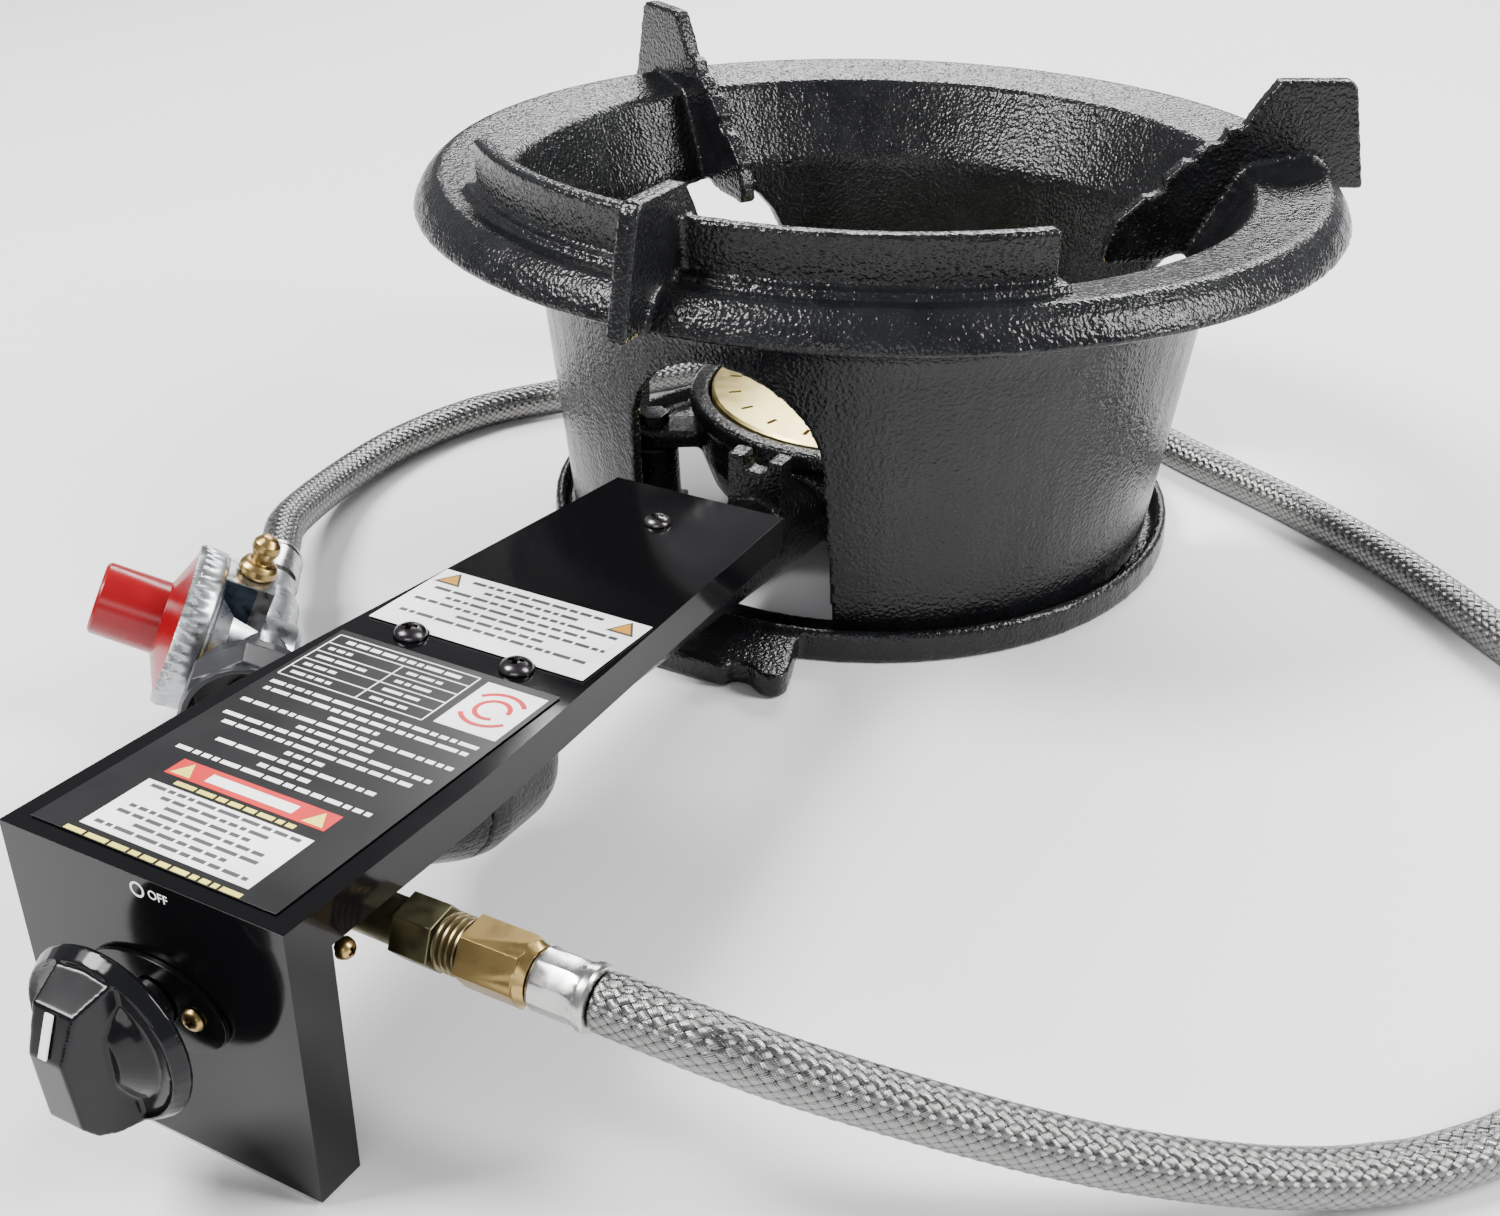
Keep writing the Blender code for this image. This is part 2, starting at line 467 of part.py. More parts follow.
# The grip is a tall ridge, outlined from its side (height on the knob, distance out) and narrower in
# front; the pointer is a bar lying on its sloping top end.
SIDEWAYS = Matrix(((0, 0, 1), (1, 0, 0), (0, 1, 0))).to_4x4()
grip_outline = [(-20.4, 14.0), (-22.8, 23.5), (-20.6, 28.0), (-14.0, 31.0), (5.5, 32.3), (16.3, 27.5),
                (19.9, 18.0), (20.2, 14.0)]
grip_mesh = plate_mesh("knob_grip", grip_outline, 18.6)
for vertex in grip_mesh.vertices:
    vertex.co.z *= 1.0 - 0.45 * (vertex.co.y / MM - 14.0) / 18.0
grip = place("knob_grip", grip_mesh, None, stem_frame, turn=SIDEWAYS, cutter=True)
combine(knob, grip, "UNION")
pointer = [(6.1, 32.45), (15.8, 28.1), (16.05, 28.65), (6.35, 33.0)]
place("knob_pointer", plate_mesh("knob_pointer", pointer, 2.4), WHITE, stem_frame, turn=SIDEWAYS)

# Test-point screw on the valve's side, bracket and rear clip screw
side = along_x()
place("test_screw", turned_mesh("test_screw", [
    (0.0, 41.4), (2.7, 41.4), (2.9, 40.6), (2.9, 36.5), (1.8, 36.5), (1.8, 12.4), (0.0, 12.4)], 16),
    BRASS, arm_frame, (0, 21.6, -19.5), side)
bracket = place("valve_bracket", box_mesh("valve_bracket", (-24.0, FLANGE - 6.0, -51.0),
                                          (24.0, FLANGE - 4.6, -19.0)), BLACK_STEEL, arm_frame)
for name, x, r in (("bracket_bore", 0.0, 11.9), ("bracket_left", -12.6, 1.9),
                   ("bracket_right", 12.6, 1.9)):
    tool = place(name, prism_mesh(name, r, r, -20.0, 4.0, 20), None, arm_frame, (x, 0, -STEM_DEPTH),
                 FORWARD, cutter=True)
    combine(bracket, tool, "DIFFERENCE")
place("panel_clip", turned_mesh("panel_clip", [
    (0.0, 4.0), (3.0, 3.6), (5.5, 2.0), (6.0, 0.0), (0.0, 0.0)], 20), BLACK_PLASTIC, arm_frame,
    (half - 7.2, SHEET + GAP, -58.0), Matrix.Rotation(-math.pi / 2, 4, "X"))

# ---------------------------------------------------------------- gas inlet on the arm's right side
inlet_frame = empty("inlet_frame", arm_frame.matrix_world @ Matrix.Translation(
    Vector((0, INLET_S, -INLET_DEPTH)) * MM) @ along_x())
inlet = place("inlet_adaptor", prism_mesh("inlet_adaptor", 6.2, 6.2, 12.4, 43.0, 24), DARK_BRASS,
              inlet_frame)
hexagon = place("inlet_hex", prism_mesh("inlet_hex", 8.9, 8.9, 41.5, 56.5, 6, 10.0), None, inlet_frame,
                cutter=True)
thread = place("inlet_thread", prism_mesh("inlet_thread", 6.4, 6.4, 55.0, 66.0, 24), None, inlet_frame,
               cutter=True)
combine(inlet, hexagon, "UNION")
combine(inlet, thread, "UNION")
nut = place("flare_nut", prism_mesh("flare_nut", 9.2, 9.2, 60.5, 76.5, 6, 4.0), BRASS, inlet_frame)
collar = place("flare_nut_collar", prism_mesh("flare_nut_collar", 8.2, 7.3, 76.0, 79.0, 24), None,
               inlet_frame, cutter=True)
combine(nut, collar, "UNION")
tool = place("flare_nut_bore", prism_mesh("flare_nut_bore", 6.7, 6.7, 56.0, 66.5, 24), None, inlet_frame,
             cutter=True)
combine(nut, tool, "DIFFERENCE")
FERRULE = [(0.0, 0.0), (6.9, 0.0), (7.5, 0.8), (7.7, 1.6), (7.7, 13.0), (8.6, 13.6), (8.6, 15.6),
           (8.0, 16.2), (0.0, 16.2)]
HOSE_START = 79.0 + GAP + 16.2
place("ferrule_burner_end", turned_mesh("ferrule_burner_end", [
    (r, z + 79.0 + GAP) for r, z in reversed(FERRULE)], 24), STEEL, inlet_frame)

# ---------------------------------------------------------------- regulator
tilt, yaw = math.radians(REG_BONNET_TILT), math.radians(REG_BONNET_YAW)
bonnet_dir = Vector((math.cos(yaw) * math.cos(tilt), math.sin(yaw) * math.cos(tilt), math.sin(tilt)))
level = Vector((math.sin(yaw), -math.cos(yaw), 0.0))
roll = math.radians(REG_ROLL)
outlet_dir = (math.cos(roll) * level + math.sin(roll) * bonnet_dir.cross(level)).normalized()
third = outlet_dir.cross(bonnet_dir)
# Local z is the bonnet's axis, local y the outlet's direction.
reg_matrix = Matrix((third, outlet_dir, bonnet_dir)).transposed().to_4x4()
if reg_matrix.determinant() < 0:
    reg_matrix = Matrix((-third, outlet_dir, bonnet_dir)).transposed().to_4x4()
reg_matrix.translation = Vector((REG_BLOCK[0], REG_BLOCK[1] + RING_Y, REG_BLOCK[2])) * MM
reg_frame = empty("regulator_frame", reg_matrix)
OUTLET = Matrix.Rotation(-math.pi / 2, 4, "X")  # turned pieces along the outlet direction

d0 = DIAPHRAGM_OFF
body = place("regulator_body", turned_mesh("regulator_body", [
    (0.0, d0 + 3.4), (DIAPHRAGM_R - 2.0, d0 + 3.4), (DIAPHRAGM_R, d0 + 2.0), (DIAPHRAGM_R, d0 - 4.6),
    (DIAPHRAGM_R - 1.6, d0 - 6.0), (20.0, d0 - 7.0), (15.0, d0 - 12.0), (12.5, 2.0), (12.0, -9.0),
    (10.0, -11.0), (0.0, -11.0)], 40), ZINC, reg_frame)
for name, low, high, r, sides in (("outlet_boss", 4.0, 30.0, 10.5, 24), ("outlet_neck", 28.0, 46.0, 8.2, 24),
                                  ("inlet_boss", -INLET_NECK, -2.0, 11.5, 24)):
    tool = place(name, prism_mesh(name, r, r, low, high, sides), None, reg_frame, (0, 0, 0), OUTLET,
                 cutter=True)
    combine(body, tool, "UNION")
pad = place("vent_pad", box_mesh("vent_pad", (0.0, -7.0, 3.0), (26.0, 9.0, 20.0)), None, reg_frame,
            cutter=True)
combine(body, pad, "UNION")
place("regulator_bonnet", turned_mesh("regulator_bonnet", [
    (0.0, d0 + 29.8), (11.2, d0 + 29.8), (12.2, d0 + 28.8), (12.5, d0 + 9.0), (DIAPHRAGM_R - 2.2, d0 + 4.0),
    (DIAPHRAGM_R - 2.2, d0 + 3.7), (0.0, d0 + 3.7)], 36), RED, reg_frame)
place("vent_fitting", turned_mesh("vent_fitting", [
    (0.0, 15.2), (2.6, 14.6), (4.4, 12.4), (4.7, 10.2), (3.6, 7.6), (3.4, 5.6), (5.2, 5.2), (6.2, 3.6),
    (6.4, 1.6), (5.6, 0.3), (0.0, 0.3)], 20), BRASS, reg_frame, (26.0, 2.4, 10.1),
    Matrix.Rotation(math.pi / 2, 4, "Y"))
line_frame = empty("line_frame", reg_matrix @ OUTLET)
nut_frame = empty("coupling_frame", line_frame.matrix_world @ Matrix.Translation(
    Vector((0, NUT_DROP, -NUT_START)) * MM))
coupling = place("coupling_nut", prism_mesh("coupling_nut", NUT_R - 1.2, NUT_R - 1.2, -NUT_LEN, 0.0, 24),
                 NUT_PLASTIC, nut_frame)
lobes = place("coupling_lobes", prism_mesh("coupling_lobes", NUT_R + 0.6, NUT_R + 0.6, 2.0 - NUT_LEN,
                                           -5.0, 8, 22.5), None, nut_frame, cutter=True)
combine(coupling, lobes, "UNION")
mouth = place("coupling_mouth", turned_mesh("coupling_mouth", [
    (0.0, -4.0), (NUT_R - 3.8, -4.0), (NUT_R - 2.8, -NUT_LEN - 5.0), (0.0, -NUT_LEN - 5.0)], 32), None,
    nut_frame, cutter=True)
combine(coupling, mouth, "DIFFERENCE")
rear_hole = place("coupling_rear_hole", prism_mesh("coupling_rear_hole", 7.6, 7.6, -9.0, 6.0, 24), None,
                  nut_frame, cutter=True)
combine(coupling, rear_hole, "DIFFERENCE")
place("inlet_nose", turned_mesh("inlet_nose", [
    (0.0, NUT_START - INLET_NECK - GAP), (7.0, NUT_START - INLET_NECK - GAP), (7.0, -4.3), (9.5, -4.3),
    (9.5, -6.3), (7.0, -7.0), (7.0, -15.0), (4.5, -18.0), (0.0, -18.0)], 24), BRASS, nut_frame)
place("ferrule_regulator_end", turned_mesh("ferrule_regulator_end", [
    (0.0, 68.3), (8.6, 68.3), (9.3, 67.5), (9.3, 65.3), (8.9, 64.7), (8.9, 48.3), (7.6, 46.3),
    (0.0, 46.3)], 24), STEEL, line_frame)

# ---------------------------------------------------------------- braided hose
LAY = HOSE_D / 2 + 0.15
hose_a = inlet_frame.matrix_world @ Vector((0, 0, (HOSE_START + GAP) * MM))
hose_b = line_frame.matrix_world @ Vector((0, 0, (68.3 + GAP) * MM))
dir_a = (inlet_frame.matrix_world.to_3x3() @ Vector((0, 0, 1))).normalized()
dir_b = (line_frame.matrix_world.to_3x3() @ Vector((0, 0, 1))).normalized()
# Guide points on the floor round the burner, x and y from the ring's axis, and height
GUIDES = [
    (154.8, -343.5, 43.0), (207.3, -315.5, 21.5), (254.1, -285.6, 9.6), (287.2, -254.4, LAY),
    (314.5, -205.0, LAY), (325.5, -142.4, LAY), (314.5, -79.8, LAY), (288.6, -32.3, LAY),
    (256.8, 0.4, LAY), (215.4, 39.1, LAY), (167.9, 71.6, LAY), (112.0, 102.0, LAY),
    (64.0, 132.0, LAY), (10.0, 148.0, LAY), (-50.0, 144.0, LAY), (-100.0, 113.0, LAY),
    (-140.0, 66.0, LAY), (-169.0, 21.0, LAY), (-189.2, -10.5, LAY), (-199.5, -57.0, 8.2),
    (-194.0, -109.0, 11.0),
]


def smooth_route():
    knots = [hose_a - dir_a * 0.03, hose_a, hose_a + dir_a * 0.028]
    knots += [Vector((x, y + RING_Y, z)) * MM for x, y, z in GUIDES]
    knots += [hose_b + dir_b * 0.028, hose_b, hose_b - dir_b * 0.03]
    route = []
    for i in range(1, len(knots) - 2):
        p0, p1, p2, p3 = knots[i - 1:i + 3]
        steps = max(1, round((p2 - p1).length / 0.02))
        for k in range(steps):
            t = k / steps
            route.append(0.5 * (2 * p1 + (p2 - p0) * t + (2 * p0 - 5 * p1 + 4 * p2 - p3) * t ** 2
                                + (3 * p1 - p0 - 3 * p2 + p3) * t ** 3))
    route.append(knots[-2])
    for point in route:
        point.z = max(point.z, LAY * MM)
    return route


route = smooth_route()
hose_curve = bpy.data.curves.new("hose", "CURVE")
hose_curve.dimensions = "3D"
hose_curve.bevel_depth = HOSE_D / 2 * MM
hose_curve.bevel_resolution = 3
hose_curve.use_fill_caps = True
line = hose_curve.splines.new("POLY")
line.points.add(len(route) - 1)
for point, co in zip(line.points, route):
    point.co = (*co, 1)
hose_curve.materials.append(BRAID)
hose = bpy.data.objects.new("hose", hose_curve)
PARTS.objects.link(hose)
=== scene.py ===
"""Looks for the propane burner stand: hammered casting, enamelled sheet, braided hose and regulator."""

import json
import math

import bmesh
import bpy
import numpy as np
from mathutils import Matrix, Vector


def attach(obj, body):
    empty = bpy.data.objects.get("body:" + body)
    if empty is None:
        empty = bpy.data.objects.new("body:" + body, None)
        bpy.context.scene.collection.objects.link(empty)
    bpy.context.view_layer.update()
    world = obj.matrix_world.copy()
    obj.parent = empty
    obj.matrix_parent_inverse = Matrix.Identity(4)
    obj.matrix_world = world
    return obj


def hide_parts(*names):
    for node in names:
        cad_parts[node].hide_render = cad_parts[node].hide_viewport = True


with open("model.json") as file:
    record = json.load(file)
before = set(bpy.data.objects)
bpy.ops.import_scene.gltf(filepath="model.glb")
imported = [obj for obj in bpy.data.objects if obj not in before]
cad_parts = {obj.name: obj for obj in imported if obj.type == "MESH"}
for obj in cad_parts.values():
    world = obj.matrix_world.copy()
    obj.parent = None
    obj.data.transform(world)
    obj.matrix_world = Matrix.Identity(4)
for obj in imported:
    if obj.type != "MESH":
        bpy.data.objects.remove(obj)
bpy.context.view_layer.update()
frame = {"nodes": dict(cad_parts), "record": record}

MM = 0.001
SLOT_OF = {p["node"]: p["material_slot"] for p in frame["record"]["subparts"]}
BODY_OF = {n: b for b, members in frame["record"]["behaviour"]["bodies"].items() for n in members}

# Driving sizes, in millimetres, the same as the CAD model's
RING_Y = 128.4
ARM_FRONT_Y, ARM_FRONT_Z, ARM_PITCH = -394.7, 81.9, -4.154
STEM_DEPTH = 35.0
HOSE_D = 15.2
LAY = HOSE_D / 2 + 0.15
INLET_S, INLET_DEPTH = 41.3, 24.9
REG_BLOCK = (-114.7, -239.7, 22.6)
REG_BONNET_YAW, REG_BONNET_TILT, REG_ROLL = -144.1, 27.3, 1.4
DIAPHRAGM_OFF = 24.5
GAP = 0.3             # between neighbouring pieces

# The same local frames as the CAD model's
FORWARD = Matrix.Rotation(math.pi / 2, 4, "X")
ALONG_X = Matrix.Rotation(math.pi / 2, 4, "Y")
ARM = (Matrix.Translation(Vector((0, RING_Y + ARM_FRONT_Y, ARM_FRONT_Z)) * MM)
       @ Matrix.Rotation(math.radians(ARM_PITCH), 4, "X"))
STEM = ARM @ Matrix.Translation(Vector((0, 0, -STEM_DEPTH)) * MM) @ FORWARD
INLET = ARM @ Matrix.Translation(Vector((0, INLET_S, -INLET_DEPTH)) * MM) @ ALONG_X


def regulator_frame():
    """The regulator's y runs towards the hose and its z out through the bonnet."""
    tilt, yaw, roll = (math.radians(a) for a in (REG_BONNET_TILT, REG_BONNET_YAW, REG_ROLL))
    bonnet = Vector((math.cos(yaw) * math.cos(tilt), math.sin(yaw) * math.cos(tilt), math.sin(tilt)))
    level = Vector((math.sin(yaw), -math.cos(yaw), 0.0))
    outlet = (math.cos(roll) * level + math.sin(roll) * bonnet.cross(level)).normalized()
    made = Matrix((outlet.cross(bonnet), outlet, bonnet)).transposed().to_4x4()
    made.translation = Vector((REG_BLOCK[0], REG_BLOCK[1] + RING_Y, REG_BLOCK[2])) * MM
    return made


REGULATOR = regulator_frame()
LINE = REGULATOR @ Matrix.Rotation(-math.pi / 2, 4, "X")


# ---------------------------------------------------------------- materials
MIX_A, MIX_B, MIX_RESULT = 6, 7, 2  # the colour sockets of a Mix node


class Shader:
    """A Principled material and short ways to add nodes that work in object space, in metres."""

    def __init__(self, name, rgb, roughness, metallic=0.0, specular=0.5):
        self.mat = bpy.data.materials.new(name)
        self.mat.use_nodes = True
        self.tree = self.mat.node_tree
        self.bsdf = self.tree.nodes["Principled BSDF"]
        self.bsdf.inputs["Base Color"].default_value = (*rgb, 1.0)
        self.bsdf.inputs["Roughness"].default_value = roughness
        self.bsdf.inputs["Metallic"].default_value = metallic
        self.bsdf.inputs["Specular IOR Level"].default_value = specular
        self.normal = None

    def node(self, kind, **values):
        made = self.tree.nodes.new(kind)
        for key, value in values.items():
            setattr(made, key, value)
        return made

    def link(self, start, end):
        self.tree.links.new(start, end)

    def coords(self, output="Object"):
        return self.node("ShaderNodeTexCoord").outputs[output]

    def noise(self, per_metre, detail, stretch=(1, 1, 1), roughness=0.5):
        mapping = self.node("ShaderNodeMapping")
        mapping.inputs["Scale"].default_value = stretch
        self.link(self.coords(), mapping.inputs["Vector"])
        made = self.node("ShaderNodeTexNoise")
        made.inputs["Scale"].default_value = per_metre
        made.inputs["Detail"].default_value = detail
        made.inputs["Roughness"].default_value = roughness
        self.link(mapping.outputs["Vector"], made.inputs["Vector"])
        return made.outputs["Fac"]

    def cells(self, per_metre):
        made = self.node("ShaderNodeTexVoronoi", feature="SMOOTH_F1")
        made.inputs["Scale"].default_value = per_metre
        made.inputs["Smoothness"].default_value = 0.6
        self.link(self.coords(), made.inputs["Vector"])
        return made.outputs["Distance"]

    def math(self, operation, *values):
        made = self.node("ShaderNodeMath", operation=operation)
        for socket, value in zip(made.inputs, values):
            if isinstance(value, (int, float)):
                socket.default_value = value
            else:
                self.link(value, socket)
        return made.outputs[0]

    def tint(self, factor, low, high, colours):
        """The base colour goes from the first colour to the second as factor goes from low to high."""
        made = self.node("ShaderNodeMapRange")
        made.inputs["From Min"].default_value, made.inputs["From Max"].default_value = low, high
        self.link(factor, made.inputs["Value"])
        mix = self.node("ShaderNodeMix", data_type="RGBA")
        mix.inputs[MIX_A].default_value, mix.inputs[MIX_B].default_value = ((*c, 1.0) for c in colours)
        self.link(made.outputs[0], mix.inputs[0])
        self.link(mix.outputs[MIX_RESULT], self.bsdf.inputs["Base Color"])

    def vary_roughness(self, factor, low, high):
        """The roughness goes from low to high over the middle third of a noise."""
        made = self.node("ShaderNodeMapRange")
        made.inputs["From Min"].default_value, made.inputs["From Max"].default_value = 0.35, 0.65
        made.inputs["To Min"].default_value, made.inputs["To Max"].default_value = low, high
        self.link(factor, made.inputs["Value"])
        self.link(made.outputs[0], self.bsdf.inputs["Roughness"])

    def bump(self, height, millimetres, strength):
        """Adds a bump on top of those before it."""
        made = self.node("ShaderNodeBump")
        made.inputs["Distance"].default_value = millimetres * MM
        made.inputs["Strength"].default_value = strength
        self.link(height, made.inputs["Height"])
        if self.normal:
            self.link(self.normal, made.inputs["Normal"])
        self.normal = made.outputs["Normal"]
        self.link(self.normal, self.bsdf.inputs["Normal"])
        return self


def hammered_iron():
    """Black enamel with a hammered grain of 1 to 2 mm."""
    s = Shader("hammered_iron", (0.006, 0.0063, 0.007), 0.24, specular=0.33)
    s.tint(s.noise(60, 4), 0.35, 0.7, ((0.004, 0.0042, 0.0048), (0.008, 0.0084, 0.0092)))
    s.vary_roughness(s.noise(120, 3), 0.2, 0.28)
    s.bump(s.noise(820, 1.0, roughness=0.4), 0.55, 0.75)
    return s.bump(s.cells(560), 0.4, 0.5).mat


def enamel():
    """Gloss black paint with a little orange peel."""
    s = Shader("black_enamel", (0.003, 0.003, 0.0035), 0.09, specular=0.22)
    s.vary_roughness(s.noise(25, 4), 0.07, 0.14)
    return s.bump(s.noise(260, 2), 0.03, 0.25).mat


def brass(name="brass", light=(0.4, 0.28, 0.11), dark=(0.35, 0.24, 0.09), rough=(0.26, 0.34)):
    s = Shader(name, light, 0.28, 1.0)
    s.tint(s.noise(45, 2), 0.3, 0.7, (light, dark))
    s.vary_roughness(s.noise(150, 2), *rough)
    return s.bump(s.noise(1500, 1), 0.004, 0.3).mat


def metal(name, light, dark, rough, grain=700, bump=0.02, stretch=(1, 1, 6)):
    s = Shader(name, light, 0.3, 1.0)
    s.tint(s.noise(110, 5), 0.3, 0.7, (light, dark))
    s.vary_roughness(s.noise(300, 3), *rough)
    return s.bump(s.noise(grain, 3, stretch), bump, 0.6).mat


def plastic(name, rgb, rough, bump=0.02, grain=900, specular=0.5):
    s = Shader(name, rgb, rough, specular=specular)
    s.tint(s.noise(40, 4), 0.35, 0.7, (rgb, tuple(c * 1.35 for c in rgb)))
    s.vary_roughness(s.noise(60, 2), rough * 0.9, min(1.0, rough * 1.15))
    return s.bump(s.noise(grain, 3), bump, 0.5).mat


BANDS = 14          # strands that wind each way round the hose
WIRES = 5           # wires in each strand
BRAID_DEPTH = 0.4   # millimetres from the crown of a strand to the gap beside it
BRAID_PITCH = math.pi * HOSE_D * MM / BANDS * 1.15  # metres along the hose from strand to strand


def braid():
    """Woven wire: UV x counts strands round the hose and UV y counts them along it.

    Each strand runs over and under those that cross it, with dark holes only at the corners."""
    s = Shader("steel_braid", (0.42, 0.41, 0.4), 0.3, 1.0)
    split = s.node("ShaderNodeSeparateXYZ")
    s.link(s.coords("UV"), split.inputs[0])
    a = s.math("ADD", split.outputs[0], split.outputs[1])
    b = s.math("SUBTRACT", split.outputs[0], split.outputs[1])
    parity = s.math("FLOORED_MODULO", s.math("ADD", s.math("FLOOR", a), s.math("FLOOR", b)), 2.0)
    even = s.math("SUBTRACT", 1.0, parity)
    upper = s.math("ADD", s.math("MULTIPLY", a, even), s.math("MULTIPLY", b, parity))
    other = s.math("ADD", s.math("MULTIPLY", b, even), s.math("MULTIPLY", a, parity))
    wires = s.math("ABSOLUTE", s.math("SINE", s.math("MULTIPLY", upper, math.pi * WIRES)))
    edge = s.math("ABSOLUTE", s.math("SINE", s.math("MULTIPLY", upper, math.pi)))
    end = s.math("ABSOLUTE", s.math("SINE", s.math("MULTIPLY", other, math.pi)))
    holes = s.math("MAXIMUM", edge, end)
    body = s.math("MULTIPLY", s.math("POWER", edge, 0.3), s.math("POWER", end, 0.2))
    # Painted shade: the colour darkens in the grooves between wires and towards each strand's edges, where
    # it dips under the strands that cross it.
    shade = s.math("MULTIPLY", s.math("ADD", 0.6, s.math("MULTIPLY", wires, 0.4)),
                   s.math("ADD", 0.55, s.math("MULTIPLY", body, 0.45)))
    seen = s.math("MULTIPLY", shade, s.math("MINIMUM", 1.0, s.math("MULTIPLY", holes, 2.4)))
    s.tint(seen, 0.3, 0.95, ((0.016, 0.015, 0.014), (0.3, 0.295, 0.288)))
    s.vary_roughness(s.noise(500, 2), 0.2, 0.34)
    s.bump(wires, 0.1, 0.6)
    return s.bump(body, 0.3, 0.6).mat


IRON = hammered_iron()
ENAMEL = enamel()
BRASS = brass()
CAP_BRASS = brass("cap_brass", (0.74, 0.62, 0.27), (0.66, 0.53, 0.21), (0.32, 0.42))
OLD_BRASS = brass("tarnished_brass", (0.2, 0.19, 0.1), (0.08, 0.075, 0.045), (0.3, 0.5))
THREAD_BRASS = brass("thread_brass", (0.3, 0.25, 0.14), (0.22, 0.18, 0.1), (0.3, 0.4))
STEEL = metal("zinc_plate", (0.5, 0.49, 0.475), (0.4, 0.39, 0.38), (0.22, 0.32), 700, 0.008)
SCREW = metal("black_screw", (0.13, 0.12, 0.125), (0.05, 0.045, 0.05), (0.2, 0.35))
ZINC = metal("cast_zinc", (0.5, 0.51, 0.52), (0.4, 0.42, 0.44), (0.26, 0.4), 420, 0.05, (1, 1, 1))
BLUE_ZINC = metal("blue_grey_zinc", (0.1, 0.13, 0.18), (0.05, 0.07, 0.1), (0.3, 0.5), 420, 0.05,
                  (1, 1, 1))
RED = plastic("red_paint", (0.2, 0.0015, 0.005), 0.24, 0.01, 500, specular=0.35)
KNOB = plastic("knob_plastic", (0.004, 0.0042, 0.005), 0.15, 0.004, 1400, specular=0.24)
NUT = plastic("nut_plastic", (0.014, 0.0145, 0.0165), 0.42, 0.04, 1200, specular=0.4)
WHITE = plastic("white_print", (0.88, 0.88, 0.87), 0.45, 0.008, 900)
STICKER = plastic("black_sticker", (0.009, 0.009, 0.0095), 0.34, 0.006, 900, specular=0.35)
RED_INK = plastic("red_ink", (0.5, 0.015, 0.015), 0.45, 0.005, 900)
YELLOW_INK = plastic("yellow_ink", (0.75, 0.65, 0.12), 0.45, 0.005, 900)
ORANGE_INK = plastic("orange_ink", (0.5, 0.24, 0.03), 0.45, 0.005, 900)
GREY_INK = plastic("grey_ink", (0.05, 0.05, 0.055), 0.5, 0.005, 900)
BRAID = braid()
SURFACE = {
    "hammered_black_iron": IRON, "black_enamel_sheet": ENAMEL, "brass": BRASS, "dark_brass": OLD_BRASS,
    "steel": STEEL, "black_screw": SCREW, "steel_braid": BRAID, "zinc_casting": ZINC, "red_paint": RED,
    "black_plastic": KNOB, "nut_plastic": NUT, "white_print": WHITE, "black_label": STICKER,
}


# ---------------------------------------------------------------- mesh helpers
def smooth(mesh, sharp_angle=32):
    mesh.polygons.foreach_set("use_smooth", [True] * len(mesh.polygons))
    mesh.set_sharp_from_angle(angle=math.radians(sharp_angle))


def add_object(name, mesh, material):
    obj = bpy.data.objects.new(name, mesh)
    bpy.context.scene.collection.objects.link(obj)
    mesh.materials.clear()
    mesh.materials.append(material)
    return obj


def stands_for(obj, node):
    """The piece rides on the node's body and hides the node."""
    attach(obj, BODY_OF[node])
    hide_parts(node)
    return obj


def belongs_to(obj, node):
    """The piece rides on the node's body, beside it."""
    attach(obj, BODY_OF[node])
    return obj


def mesh_of(bm, name, sharp_angle=32):
    """Turns a bmesh into a smooth-shaded mesh and frees it."""
    bmesh.ops.recalc_face_normals(bm, faces=bm.faces)
    mesh = bpy.data.meshes.new(name)
    bm.to_mesh(mesh)
    bm.free()
    smooth(mesh, sharp_angle)
    return mesh


def baked(obj):
    """Applies the object's modifiers to its mesh."""
    graph = bpy.context.evaluated_depsgraph_get()
    mesh = bpy.data.meshes.new_from_object(obj.evaluated_get(graph))
    obj.modifiers.clear()
    obj.data = mesh
    return obj


def node_bmesh(node):
    """The CAD node's mesh, with its faces joined."""
    bm = bmesh.new()
    bm.from_mesh(frame["nodes"][node].data)
    bmesh.ops.remove_doubles(bm, verts=bm.verts, dist=1e-6)
    return bm


def bevelled(node, name, width, segments=2, material=None, angle=28, adjust=None):
    """A copy of a CAD node with its hard edges rounded."""
    bm = node_bmesh(node)
    if adjust:
        adjust(bm)
    bmesh.ops.dissolve_limit(bm, angle_limit=math.radians(0.5), verts=bm.verts, edges=bm.edges)
    obj = add_object(name, mesh_of(bm, name), material or SURFACE[SLOT_OF[node]])
    rounding = obj.modifiers.new("rounding", "BEVEL")
    rounding.width, rounding.segments = width * MM, segments
    rounding.limit_method, rounding.angle_limit = "ANGLE", math.radians(angle)
    rounding.use_clamp_overlap = True
    rounding.harden_normals = True
    return stands_for(baked(obj), node)


def cast(node, name, voxel, rounds, adjust=None):
    """A copy of a CAD node with softly rounded edges and corners, as castings and mouldings have."""
    bm = node_bmesh(node)
    if adjust:
        adjust(bm)
    obj = add_object(name, mesh_of(bm, name), SURFACE[SLOT_OF[node]])
    remesh = obj.modifiers.new("voxels", "REMESH")
    remesh.mode, remesh.voxel_size = "VOXEL", voxel * MM
    relax = obj.modifiers.new("relax", "SMOOTH")
    relax.factor, relax.iterations = 0.5, rounds
    baked(obj)
    smooth(obj.data, 60)
    return stands_for(obj, node)


